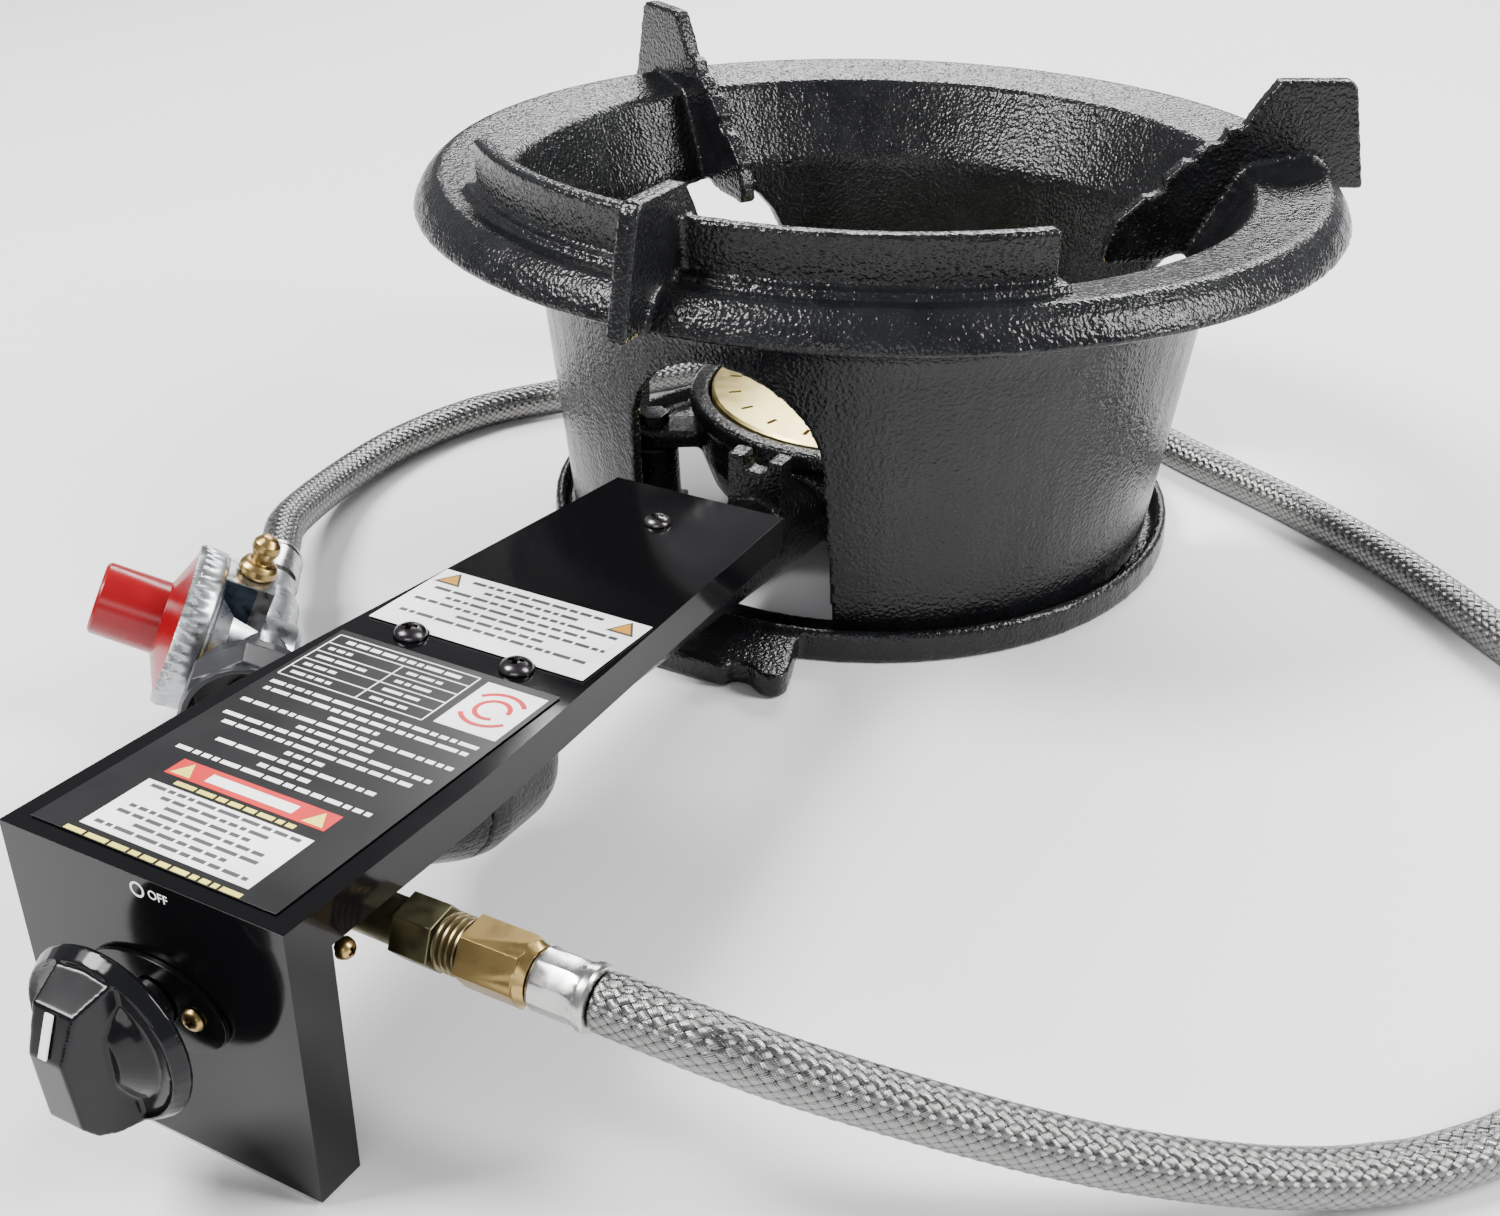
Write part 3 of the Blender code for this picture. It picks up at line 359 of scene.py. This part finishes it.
def lathe(name, profile, steps, shape=None, sharp_angle=32, closed=False):
    """Turns (radius, z) points round z, in millimetres; shape(angle, index) scales the radius.

    closed joins the last point to the first, for a ring."""
    bm = bmesh.new()
    rings = []
    for i, (r, z) in enumerate(profile):
        ring = []
        for k in range(steps):
            angle = 2 * math.pi * k / steps
            out = r * (shape(angle, i) if shape else 1.0)
            ring.append(bm.verts.new(Vector((out * math.cos(angle), out * math.sin(angle), z)) * MM))
        rings.append(ring)
    pairs = list(zip(rings, rings[1:])) + ([(rings[-1], rings[0])] if closed else [])
    for low, high in pairs:
        for k in range(steps):
            bm.faces.new((low[k], low[(k + 1) % steps], high[(k + 1) % steps], high[k]))
    bmesh.ops.remove_doubles(bm, verts=bm.verts, dist=1e-6)
    return mesh_of(bm, name, sharp_angle)


def put(name, mesh, material, matrix):
    """Adds a mesh made in a local frame to the scene."""
    mesh.transform(matrix)
    return add_object(name, mesh, material)


def flat_prints(name, boxes, thickness, base, material, matrix):
    """Thin printed bars: (x1, y1, x2, y2) in the frame of matrix, on top of the height base."""
    bm = bmesh.new()
    for x1, y1, x2, y2 in boxes:
        made = bmesh.ops.create_cube(bm, size=1.0)
        centre = Vector(((x1 + x2) / 2, (y1 + y2) / 2, base + thickness / 2)) * MM
        shape = (Matrix.Translation(centre)
                 @ Matrix.Diagonal((abs(x2 - x1) * MM, abs(y2 - y1) * MM, thickness * MM, 1)))
        bmesh.ops.transform(bm, matrix=shape, verts=made["verts"])
    return put(name, mesh_of(bm, name), material, matrix)


def outline_prints(name, outlines, thickness, base, material, matrix):
    """Thin printed polygons, each a list of (x, y)."""
    bm = bmesh.new()
    for outline in outlines:
        low = [bm.verts.new(Vector((x, y, base)) * MM) for x, y in outline]
        high = [bm.verts.new(Vector((x, y, base + thickness)) * MM) for x, y in outline]
        bm.faces.new(high)
        bm.faces.new(low[::-1])
        count = len(outline)
        for i in range(count):
            bm.faces.new((low[i], low[(i + 1) % count], high[(i + 1) % count], high[i]))
    return put(name, mesh_of(bm, name), material, matrix)


WORD_LENGTHS = (5.2, 3.1, 6.4, 2.2, 4.3, 7.1, 2.8, 3.7, 5.8, 1.9)
WORD_SPACE = 0.9


def words(x1, x2, y, height, first):
    """A line of bars between x1 and x2, as long as words, starting from the first of WORD_LENGTHS."""
    bars, x, i = [], x1, first
    while x < x2 - 1.0:
        end = min(x + WORD_LENGTHS[i % len(WORD_LENGTHS)] * 0.9, x2)
        bars.append((x, y - height / 2, end, y + height / 2))
        x, i = end + WORD_SPACE, i + 3
    return bars


# ---------------------------------------------------------------- camera
CAMERA_PLACE = (242.5, -569.4 + RING_Y, 305.1)
CAMERA_TURN = (53.3015, -0.1154, 28.2959)  # degrees about x, y and z


def camera():
    """The photograph's viewpoint, with the shift that its cropped frame needs."""
    data = bpy.data.cameras.new("camera")
    data.sensor_width, data.lens = 36.0, 37.82
    data.shift_x, data.shift_y = 0.0155, 0.1235
    data.clip_start = 0.01
    obj = bpy.data.objects.new("camera", data)
    bpy.context.scene.collection.objects.link(obj)
    obj.location = Vector(CAMERA_PLACE) * MM
    obj.rotation_euler = [math.radians(angle) for angle in CAMERA_TURN]
    bpy.context.scene.camera = obj


camera()

# ---------------------------------------------------------------- hose
# Guide points on the floor round the burner, x and y from the ring's axis, and height
GUIDES = [
    (154.8, -343.5, 43.0), (207.3, -315.5, 21.5), (254.1, -285.6, 9.6), (287.2, -254.4, LAY),
    (314.5, -205.0, LAY), (325.5, -142.4, LAY), (314.5, -79.8, LAY), (288.6, -32.3, LAY),
    (256.8, 0.4, LAY), (215.4, 39.1, LAY), (167.9, 71.6, LAY), (112.0, 102.0, LAY),
    (64.0, 132.0, LAY), (10.0, 148.0, LAY), (-50.0, 144.0, LAY), (-100.0, 113.0, LAY),
    (-140.0, 66.0, LAY), (-169.0, 21.0, LAY), (-189.2, -10.5, LAY), (-199.5, -57.0, 8.2),
    (-194.0, -109.0, 11.0),
]
HOSE_START, HOSE_END = 95.8, 68.6  # along the inlet frame and along the regulator's line


def hose_route():
    """Points along a smooth curve through the guides, no more than 20 mm apart and never in the floor."""
    start, end = INLET @ Vector((0, 0, HOSE_START * MM)), LINE @ Vector((0, 0, HOSE_END * MM))
    out, home = (m.to_3x3() @ Vector((0, 0, 1)) for m in (INLET, LINE))
    knots = [start - out * 0.03, start, start + out * 0.028]
    knots += [Vector((x, y + RING_Y, z)) * MM for x, y, z in GUIDES]
    knots += [end + home * 0.028, end, end - home * 0.03]
    route = []
    for p0, p1, p2, p3 in zip(knots[:-3], knots[1:-2], knots[2:-1], knots[3:]):
        steps = max(1, round((p2 - p1).length / 0.02))
        for k in range(steps):
            t = k / steps
            point = 0.5 * (2 * p1 + (p2 - p0) * t + (2 * p0 - 5 * p1 + 4 * p2 - p3) * t ** 2
                           + (3 * p1 - p0 - 3 * p2 + p3) * t ** 3)
            point.z = max(point.z, LAY * MM)
            route.append(point)
    return np.array([p[:] for p in route + [end]])


def braided_tube(name, route, radius, around=84, spacing=0.75, smoothing=60):
    """A tube swept along the route, in metres, with crossing strands standing out of its wall.

    Returns its mesh and its centreline."""
    steps = np.linalg.norm(np.diff(route, axis=0), axis=1)
    along = np.concatenate([[0.0], np.cumsum(steps)])
    count = int(along[-1] / (spacing * MM)) + 1
    at = np.linspace(0.0, along[-1], count)
    line = np.stack([np.interp(at, along, route[:, i]) for i in range(3)], axis=1)
    for _ in range(smoothing):
        line[1:-1] = 0.25 * line[:-2] + 0.5 * line[1:-1] + 0.25 * line[2:]
    tangent = np.gradient(line, axis=0)
    tangent /= np.linalg.norm(tangent, axis=1)[:, None]
    side = np.zeros_like(tangent)
    side[0] = np.cross(tangent[0], (0, 0, 1))
    side[0] /= np.linalg.norm(side[0])
    for i in range(1, count):
        moved = side[i - 1] - tangent[i] * (side[i - 1] @ tangent[i])
        side[i] = moved / np.linalg.norm(moved)
    up = np.cross(side, tangent)
    angle = np.arange(around) * 2 * math.pi / around
    turns = BANDS * angle / (2 * math.pi)
    strands = at / BRAID_PITCH
    a = turns[None, :] + strands[:, None]
    b = turns[None, :] - strands[:, None]
    over = (np.floor(a) + np.floor(b)) % 2 < 1
    crown = np.where(over, np.abs(np.sin(math.pi * a)), np.abs(np.sin(math.pi * b))) ** 0.4
    arch = np.where(over, np.abs(np.sin(math.pi * b)), np.abs(np.sin(math.pi * a))) ** 0.6
    wall = radius * MM - BRAID_DEPTH * MM * (1.0 - crown * arch)
    wall[0], wall[-1] = radius * MM * 0.9, radius * MM * 0.9
    points = (line[:, None, :] + side[:, None, :] * (np.cos(angle)[None, :] * wall)[:, :, None]
              + up[:, None, :] * (np.sin(angle)[None, :] * wall)[:, :, None]).reshape(-1, 3)
    i, k = np.meshgrid(np.arange(count - 1), np.arange(around), indexing="ij")
    nxt = (k + 1) % around
    quads = np.stack([i * around + k, i * around + nxt, (i + 1) * around + nxt, (i + 1) * around + k],
                     axis=-1).reshape(-1, 4)
    caps = [list(range(around)), list(range(count * around - 1, (count - 1) * around - 1, -1))]
    mesh = bpy.data.meshes.new(name)
    mesh.from_pydata(points, [], quads[:, ::-1].tolist() + caps)
    uv = mesh.uv_layers.new(name="UVMap")
    u0, v0 = BANDS * k / around, strands[i]
    u1, v1 = BANDS * (k + 1) / around, strands[i + 1]
    corners = np.stack([np.stack([u0, v1], -1), np.stack([u1, v1], -1), np.stack([u1, v0], -1),
                        np.stack([u0, v0], -1)], axis=-2).reshape(-1, 2)
    flat = np.zeros((len(uv.data), 2))
    flat[:len(corners)] = corners
    uv.data.foreach_set("uv", flat.ravel())
    mesh.update()
    smooth(mesh, 60)
    return mesh, line


# Its radius stays 0.08 mm inside the CAD hose's flat-sided box
hose_mesh, hose_line = braided_tube("braided_hose", hose_route(), HOSE_D / 2 - 0.08)
hose = stands_for(add_object("braided_hose", hose_mesh, BRAID), "hose")

# ---------------------------------------------------------------- castings
FIN_ANGLES = (-90.7, 29.3, 149.3)
# Raised treads on the sloping edge of each pot support, as (radius, height) of their two ends
TREADS = (((135.0, 153.4), (130.2, 151.5)), ((126.6, 147.8), (120.4, 143.7)),
          ((117.8, 141.8), (110.0, 134.3)), ((104.4, 129.0), (93.4, 118.6)))
TREAD_WIDTH, TREAD_THICKNESS = 7.2, 2.8


def add_treads(bm):
    """The voxel remesh joins these bars to the supports."""
    for angle in FIN_ANGLES:
        spin = Matrix.Translation((0, RING_Y * MM, 0)) @ Matrix.Rotation(math.radians(angle), 4, "Z")
        for (r1, z1), (r2, z2) in TREADS:
            length, slope = math.hypot(r2 - r1, z2 - z1), math.atan2(z2 - z1, r2 - r1)
            made = bmesh.ops.create_cube(bm, size=1.0)
            shape = (spin @ Matrix.Translation(Vector(((r1 + r2) / 2, 0, (z1 + z2) / 2)) * MM)
                     @ Matrix.Rotation(-slope, 4, "Y")
                     @ Matrix.Diagonal((length * MM, TREAD_WIDTH * MM, TREAD_THICKNESS * MM, 1)))
            bmesh.ops.transform(bm, matrix=shape, verts=made["verts"])


cast("ring_casting", "hammered_ring", 1.0, 3, adjust=add_treads)
cast("base_ring", "hammered_base", 1.2, 4)
cast("burner_head", "hammered_burner", 1.1, 4)
cast("air_shutter", "pierced_shutter", 0.6, 3)
bevelled("burner_cap", "slotted_cap", 0.5, 2, CAP_BRASS)
for number in (1, 2, 3):
    bevelled(f"burner_bolt_{number}", f"hex_bolt_{number}", 0.5)

# ---------------------------------------------------------------- sheet cover
bevelled("arm_cover", "folded_cover", 0.5, 3, angle=40)
bevelled("stem_bezel", "oval_bezel", 0.5, 3, angle=40)
for node in ("valve_body", "gas_jet", "valve_bracket", "valve_stem", "stem_bushing", "panel_clip"):
    bevelled(node, f"finished_{node}", 0.3)


RECESS_TURN = 0.3  # radians


def cross_screw(node, name, head_r, head_h, matrix, material):
    """A pan head with a cross recess, in place of the CAD screw."""
    profile = [(0.0, head_h), (head_r * 0.35, head_h * 0.98), (head_r * 0.62, head_h * 0.86),
               (head_r * 0.85, head_h * 0.6), (head_r * 0.97, head_h * 0.28), (head_r, 0.12), (head_r, 0.0),
               (head_r * 0.5, 0.0), (head_r * 0.5, -1.5), (0.0, -1.5)]
    obj = add_object(name, lathe(name, profile, 48), material)
    arms = bmesh.new()
    for turn in (RECESS_TURN, RECESS_TURN + math.pi / 2):
        made = bmesh.ops.create_cube(arms, size=1.0)
        for vertex in made["verts"]:
            x, y, z = vertex.co
            taper = 1.0 if z > 0 else 0.55
            size = Vector((x * head_r * 1.2 * taper, y * head_r * 0.32, (z + 0.5) * head_h * 1.2))
            vertex.co = (Matrix.Rotation(turn, 3, "Z") @ size + Vector((0, 0, head_h * 0.35))) * MM
    cutter = add_object("cross_cutter", mesh_of(arms, "cross_cutter"), material)
    cut = obj.modifiers.new("recess", "BOOLEAN")
    cut.operation, cut.solver, cut.object, cut.use_self = "DIFFERENCE", "EXACT", cutter, True
    baked(obj)
    bpy.data.objects.remove(cutter)
    smooth(obj.data, 32)
    obj.data.transform(matrix)
    return stands_for(obj, node)


def at(matrix, x, y, z):
    """The frame moved along its own axes, in millimetres."""
    return matrix @ Matrix.Translation(Vector((x, y, z)) * MM)


SCREW_LEFT, SCREW_RIGHT = (-19.5, 123.5), (17.5, 122.5)
cross_screw("cover_screw_left", "truss_screw_left", 5.0, 3.0, at(ARM, *SCREW_LEFT, GAP), SCREW)
cross_screw("cover_screw_right", "truss_screw_right", 5.0, 3.0, at(ARM, *SCREW_RIGHT, GAP), SCREW)
cross_screw("cover_screw_rear", "truss_screw_rear", 4.5, 2.6, at(ARM, -0.5, 230.0, GAP), SCREW)
for side, x in (("left", -12.6), ("right", 12.6)):
    cross_screw(f"bezel_screw_{side}", f"pan_screw_{side}", 3.0, 1.9, at(STEM, x, 0, 2.0), BRASS)
cross_screw("test_screw", "test_point_screw", 2.9, 3.0, at(ARM, 38.3, 21.6, -19.5) @ ALONG_X, BRASS)

# ---------------------------------------------------------------- labels, with bars in place of words
LABEL_T, INK = 0.25, 0.06
STICKER_TOP = GAP + LABEL_T
bevelled("data_label", "black_sticker", 0.1, 1)
bevelled("caution_label", "white_sticker", 0.1, 1)


def print_bars(name, boxes, material, node, layer=0):
    """Bars on a label; each layer of ink lies on the one below."""
    belongs_to(flat_prints(name, boxes, INK, STICKER_TOP + layer * INK, material, ARM), node)


def print_shapes(name, outlines, material, node, layer=0):
    """Flat outlines on a label, in the same layers."""
    belongs_to(outline_prints(name, outlines, INK, STICKER_TOP + layer * INK, material, ARM), node)


def text_block(top, step, height, half_widths):
    """Centred lines of bars, one for each half width, step apart along the arm."""
    bars = []
    for row, half in enumerate(half_widths):
        bars += words(-half, half, top + row * step, height, row)
    return bars


def triangles(half_apart, s, size):
    """Two triangles that point up, on either side of the middle."""
    return [[(x - size * 0.58, s - size / 2), (x + size * 0.58, s - size / 2), (x, s + size / 2)]
            for x in (-half_apart, half_apart)]


def arc(r1, r2, start, end, centre=(25.4, 100.0)):
    """The outline of a band between two radii and two angles in degrees."""
    turns = [math.radians(start + (end - start) * i / 20) for i in range(21)]
    return ([(centre[0] + r2 * math.cos(t), centre[1] + r2 * math.sin(t)) for t in turns]
            + [(centre[0] + r1 * math.cos(t), centre[1] + r1 * math.sin(t)) for t in reversed(turns)])


def table(left, right, middle, lines, last, rule=0.4):
    """A ruled table with two columns, and one wide row behind them."""
    half = rule / 2
    bars = [(left, s - half, right, s + half) for s in (*lines, last)]
    bars += [(x - half, lines[0], x + half, last) for x in (left, right)]
    bars.append((middle - half, lines[0], middle + half, lines[-1]))
    step = lines[1] - lines[0]
    for row, end in enumerate((-18, -22, -16, -24)):
        s = lines[0] + step / 2 + row * step
        bars += words(-33, end, s, 1.3, row) + words(-6, 6, s, 1.3, row + 4)
    return bars + words(-31, 8, lines[-1] + 2.7, 1.6, 1)


def clear_of_screws(bar, head=6.5):
    """Leaves out a bar that ends under a screw head."""
    return bar[1] > SCREW_LEFT[1] + 7.0 or min(abs(end - screw[0]) for end in (bar[0], bar[2])
                                               for screw in (SCREW_LEFT, SCREW_RIGHT)) > head


print_bars("white_panel", [(-25.5, 8.3, 25.5, 30.0)], WHITE, "data_label")
print_bars("red_band", [(-24.8, 34.0, 24.8, 41.0)], RED_INK, "data_label")
print_bars("panel_bars", text_block(28.2, -2.9, 1.25, (23, 17, 13, 21, 22, 14, 23)), GREY_INK,
           "data_label", 1)
print_bars("red_band_bar", [(-13.5, 35.8, 13.5, 39.2)], WHITE, "data_label", 1)
print_bars("yellow_bars", words(-27.0, 27.0, 5.6, 1.5, 2) + words(-19.0, 19.0, 31.9, 1.5, 5),
           YELLOW_INK, "data_label")
print_bars("text_bars", text_block(44.8, 3.75, 1.5, (31, 8, 25, 6, 30, 33, 12, 34, 8, 33, 34)), WHITE,
           "data_label")
print_bars("table_lines", table(-35.4, 12.7, -9.2, (86.4, 91.6, 96.8, 102.0, 107.2), 112.5), WHITE,
           "data_label")
print_bars("white_square", [(15.7, 87.5, 35.0, 112.0)], WHITE, "data_label")
print_shapes("ring_mark", [arc(7.6, 9.0, 35, 145), arc(7.6, 9.0, 215, 325), arc(4.0, 5.4, 0, 300)],
             RED_INK, "data_label", 1)
print_shapes("yellow_triangles", triangles(20.5, 37.5, 5.4), YELLOW_INK, "data_label", 1)
print_shapes("triangle_edges", triangles(30.5, 159.0, 8.0), GREY_INK, "caution_label")
print_shapes("orange_triangles", triangles(30.5, 158.8, 5.8), ORANGE_INK, "caution_label", 1)
print_bars("caution_bars",
           list(filter(clear_of_screws, text_block(160.0, -4.2, 1.6, (24, 17, 32, 25, 33, 15, 32)))),
           GREY_INK, "caution_label")

# Control panel print: a ring mark and the word OFF beside it
PANEL = ARM @ FORWARD
OFF_DROP = 3.9  # below the panel's top edge
off_ring = lathe("off_ring", [(1.55, 0.02), (2.1, 0.02), (2.1, 0.08), (1.55, 0.08)], 48, closed=True)
belongs_to(put("off_ring", off_ring, WHITE, at(PANEL, 0, -OFF_DROP, 0)), "arm_cover")
text = bpy.data.curves.new("off_word", "FONT")
text.body, text.size, text.extrude = "OFF", 3.4 * MM, 0.03 * MM
text.align_x, text.align_y = "LEFT", "CENTER"
word = bpy.data.objects.new("off_word", text)
bpy.context.scene.collection.objects.link(word)
bpy.context.view_layer.update()
graph = bpy.context.evaluated_depsgraph_get()
word_mesh = bpy.data.meshes.new_from_object(word.evaluated_get(graph))
bpy.data.objects.remove(word)
belongs_to(put("off_word", word_mesh, WHITE, at(PANEL, 3.2, -OFF_DROP, 0.05)), "arm_cover")

# ---------------------------------------------------------------- knob
def shorten_grip(bm):
    """The lower end of the knob's ridge stops a little higher than the CAD model's."""
    back = STEM.inverted()
    for vertex in bm.verts:
        local = (back @ vertex.co) / MM
        if local.y < -20.0 and local.z > 21.0:
            local.y += 2.6
            vertex.co = STEM @ (local * MM)


cast("knob", "moulded_knob", 0.4, 5, adjust=shorten_grip)
bevelled("knob_pointer", "raised_pointer", 0.2)

# ---------------------------------------------------------------- inlet fittings
HEX_END, NUT_START = 52.6, 60.5  # along the inlet frame; the thread shows between them
THREAD_PITCH = 1.8


def shorten_hexagon(bm):
    """The adaptor's hexagon ends sooner than the CAD model's and shows more of the thread."""
    back = INLET.inverted()
    for vertex in bm.verts:
        local = (back @ vertex.co) / MM
        if 56.0 < local.z < 57.0:
            local.z = HEX_END
            vertex.co = INLET @ (local * MM)


bevelled("inlet_adaptor", "brass_adaptor", 0.6, 3, adjust=shorten_hexagon)
thread = [(5.4, HEX_END + 0.2)]
for turn in range(4):
    z = HEX_END + 0.6 + turn * THREAD_PITCH
    thread += [(6.0, z), (7.6, z + 0.6), (7.6, z + 1.1)]
threads = lathe("inlet_threads", thread + [(5.4, NUT_START - 0.1)], 40, closed=True)
belongs_to(put("inlet_threads", threads, THREAD_BRASS, INLET), "inlet_adaptor")
nut = bevelled("flare_nut", "brass_nut", 0.7, 3)


def crimp(angle, i):
    """Nine flats pressed into the sleeve, at the profile's points 4 to 7."""
    flat = 2 * math.pi / 9
    across = math.cos(flat / 2) / math.cos(angle % flat - flat / 2)
    return 0.3 + 0.7 * across if 4 <= i <= 7 else 1.0


def ferrule(node, name, r, matrix):
    """A crimped sleeve of radius r with long flats and a rolled ring at the hose end."""
    profile = [(0.0, 0.0), (r - 1.2, 0.0), (r - 0.4, 0.4), (r, 1.2), (r, 2.0), (r, 6.0), (r, 9.0),
               (r, 11.2), (r, 12.4), (r - 0.1, 13.0), (r + 0.55, 13.5), (r + 0.6, 14.4),
               (r + 0.55, 15.2), (r, 15.9), (r - 0.6, 16.1), (0.0, 16.1)]
    return stands_for(put(name, lathe(name, profile, 108, crimp, 24), STEEL, matrix), node)


ferrule_a = ferrule("ferrule_burner_end", "crimped_ferrule_burner", 7.95, at(INLET, 0, 0, 79.3))
ferrule_b = bevelled("ferrule_regulator_end", "crimped_ferrule_regulator", 0.4, 2)

# ---------------------------------------------------------------- regulator
bonnet = bevelled("regulator_bonnet", "red_bonnet", 0.9, 3)
body = bevelled("regulator_body", "zinc_body", 0.8, 3)
TEETH, TOOTH_DEPTH = 46, 0.022


def teeth(angle, i):
    """Crimped teeth over the bonnet, at the profile's points 1 to 4."""
    return 1.0 + (TOOTH_DEPTH * math.cos(TEETH * angle) if 1 <= i <= 4 else 0.0)


d0 = DIAPHRAGM_OFF
rim = lathe("serrated_rim", [(24.0, d0 + 3.3), (25.4, d0 + 4.1), (26.6, d0 + 4.2), (27.3, d0 + 3.0),
                             (27.6, d0 + 1.6), (27.7, d0 - 1.0), (27.7, d0 - 4.2), (26.8, d0 - 5.6),
                             (25.0, d0 - 6.3), (24.0, d0 - 5.5)], 276, teeth, 40, closed=True)
rim = belongs_to(put("serrated_rim", rim, ZINC, REGULATOR), "regulator_body")
vent = bevelled("vent_fitting", "brass_vent", 0.3, 2)
coupling = cast("coupling_nut", "lobed_nut", 0.5, 1)
nose = bevelled("inlet_nose", "brass_nose", 0.5, 2)
face = flat_prints("blue_face", [(7.0, 8.2, 25.4, 18.6)], 0.12, 0.0, BLUE_ZINC,
                   at(REGULATOR, 0, -7.0, 0) @ FORWARD)
face = belongs_to(face, "regulator_body")


# ---------------------------------------------------------------- floor and lights
def floor():
    """A plain pale floor, far wider than the view."""
    bm = bmesh.new()
    bmesh.ops.create_grid(bm, x_segments=1, y_segments=1, size=6.0)
    s = Shader("pale_floor", (0.9, 0.9, 0.9), 0.6)
    s.tint(s.noise(3, 2), 0.3, 0.7, ((0.89, 0.89, 0.89), (0.91, 0.91, 0.91)))
    add_object("floor", mesh_of(bm, "floor"), s.mat)


def area_light(name, place, target, size, power):
    """A rectangle of light that faces the target; metres and watts."""
    data = bpy.data.lights.new(name, "AREA")
    data.shape, data.size, data.size_y, data.energy = "RECTANGLE", size[0], size[1], power
    obj = bpy.data.objects.new(name, data)
    bpy.context.scene.collection.objects.link(obj)
    obj.location = place
    obj.rotation_euler = (Vector(target) - Vector(place)).to_track_quat("-Z", "Y").to_euler()


def lights():
    """Three soft studio lights, a weak fill in front and an even surround."""
    area_light("key", (-1.0, -0.7, 1.6), (0, 0, 0.05), (0.7, 0.7), 74)
    area_light("side", (1.5, 0.4, 1.1), (0, 0.05, 0.05), (0.5, 1.1), 52)
    area_light("back", (-0.3, 1.8, 1.3), (0, 0.1, 0.05), (1.8, 0.5), 64)
    area_light("front", (0.6, -1.8, 0.7), (0, -0.1, 0.05), (1.4, 0.4), 8)
    world = bpy.data.worlds.new("studio")
    bpy.context.scene.world = world
    world.use_nodes = True
    world.node_tree.nodes["Background"].inputs["Color"].default_value = (0.95, 0.96, 1.0, 1.0)
    world.node_tree.nodes["Background"].inputs["Strength"].default_value = 0.36


floor()
lights()
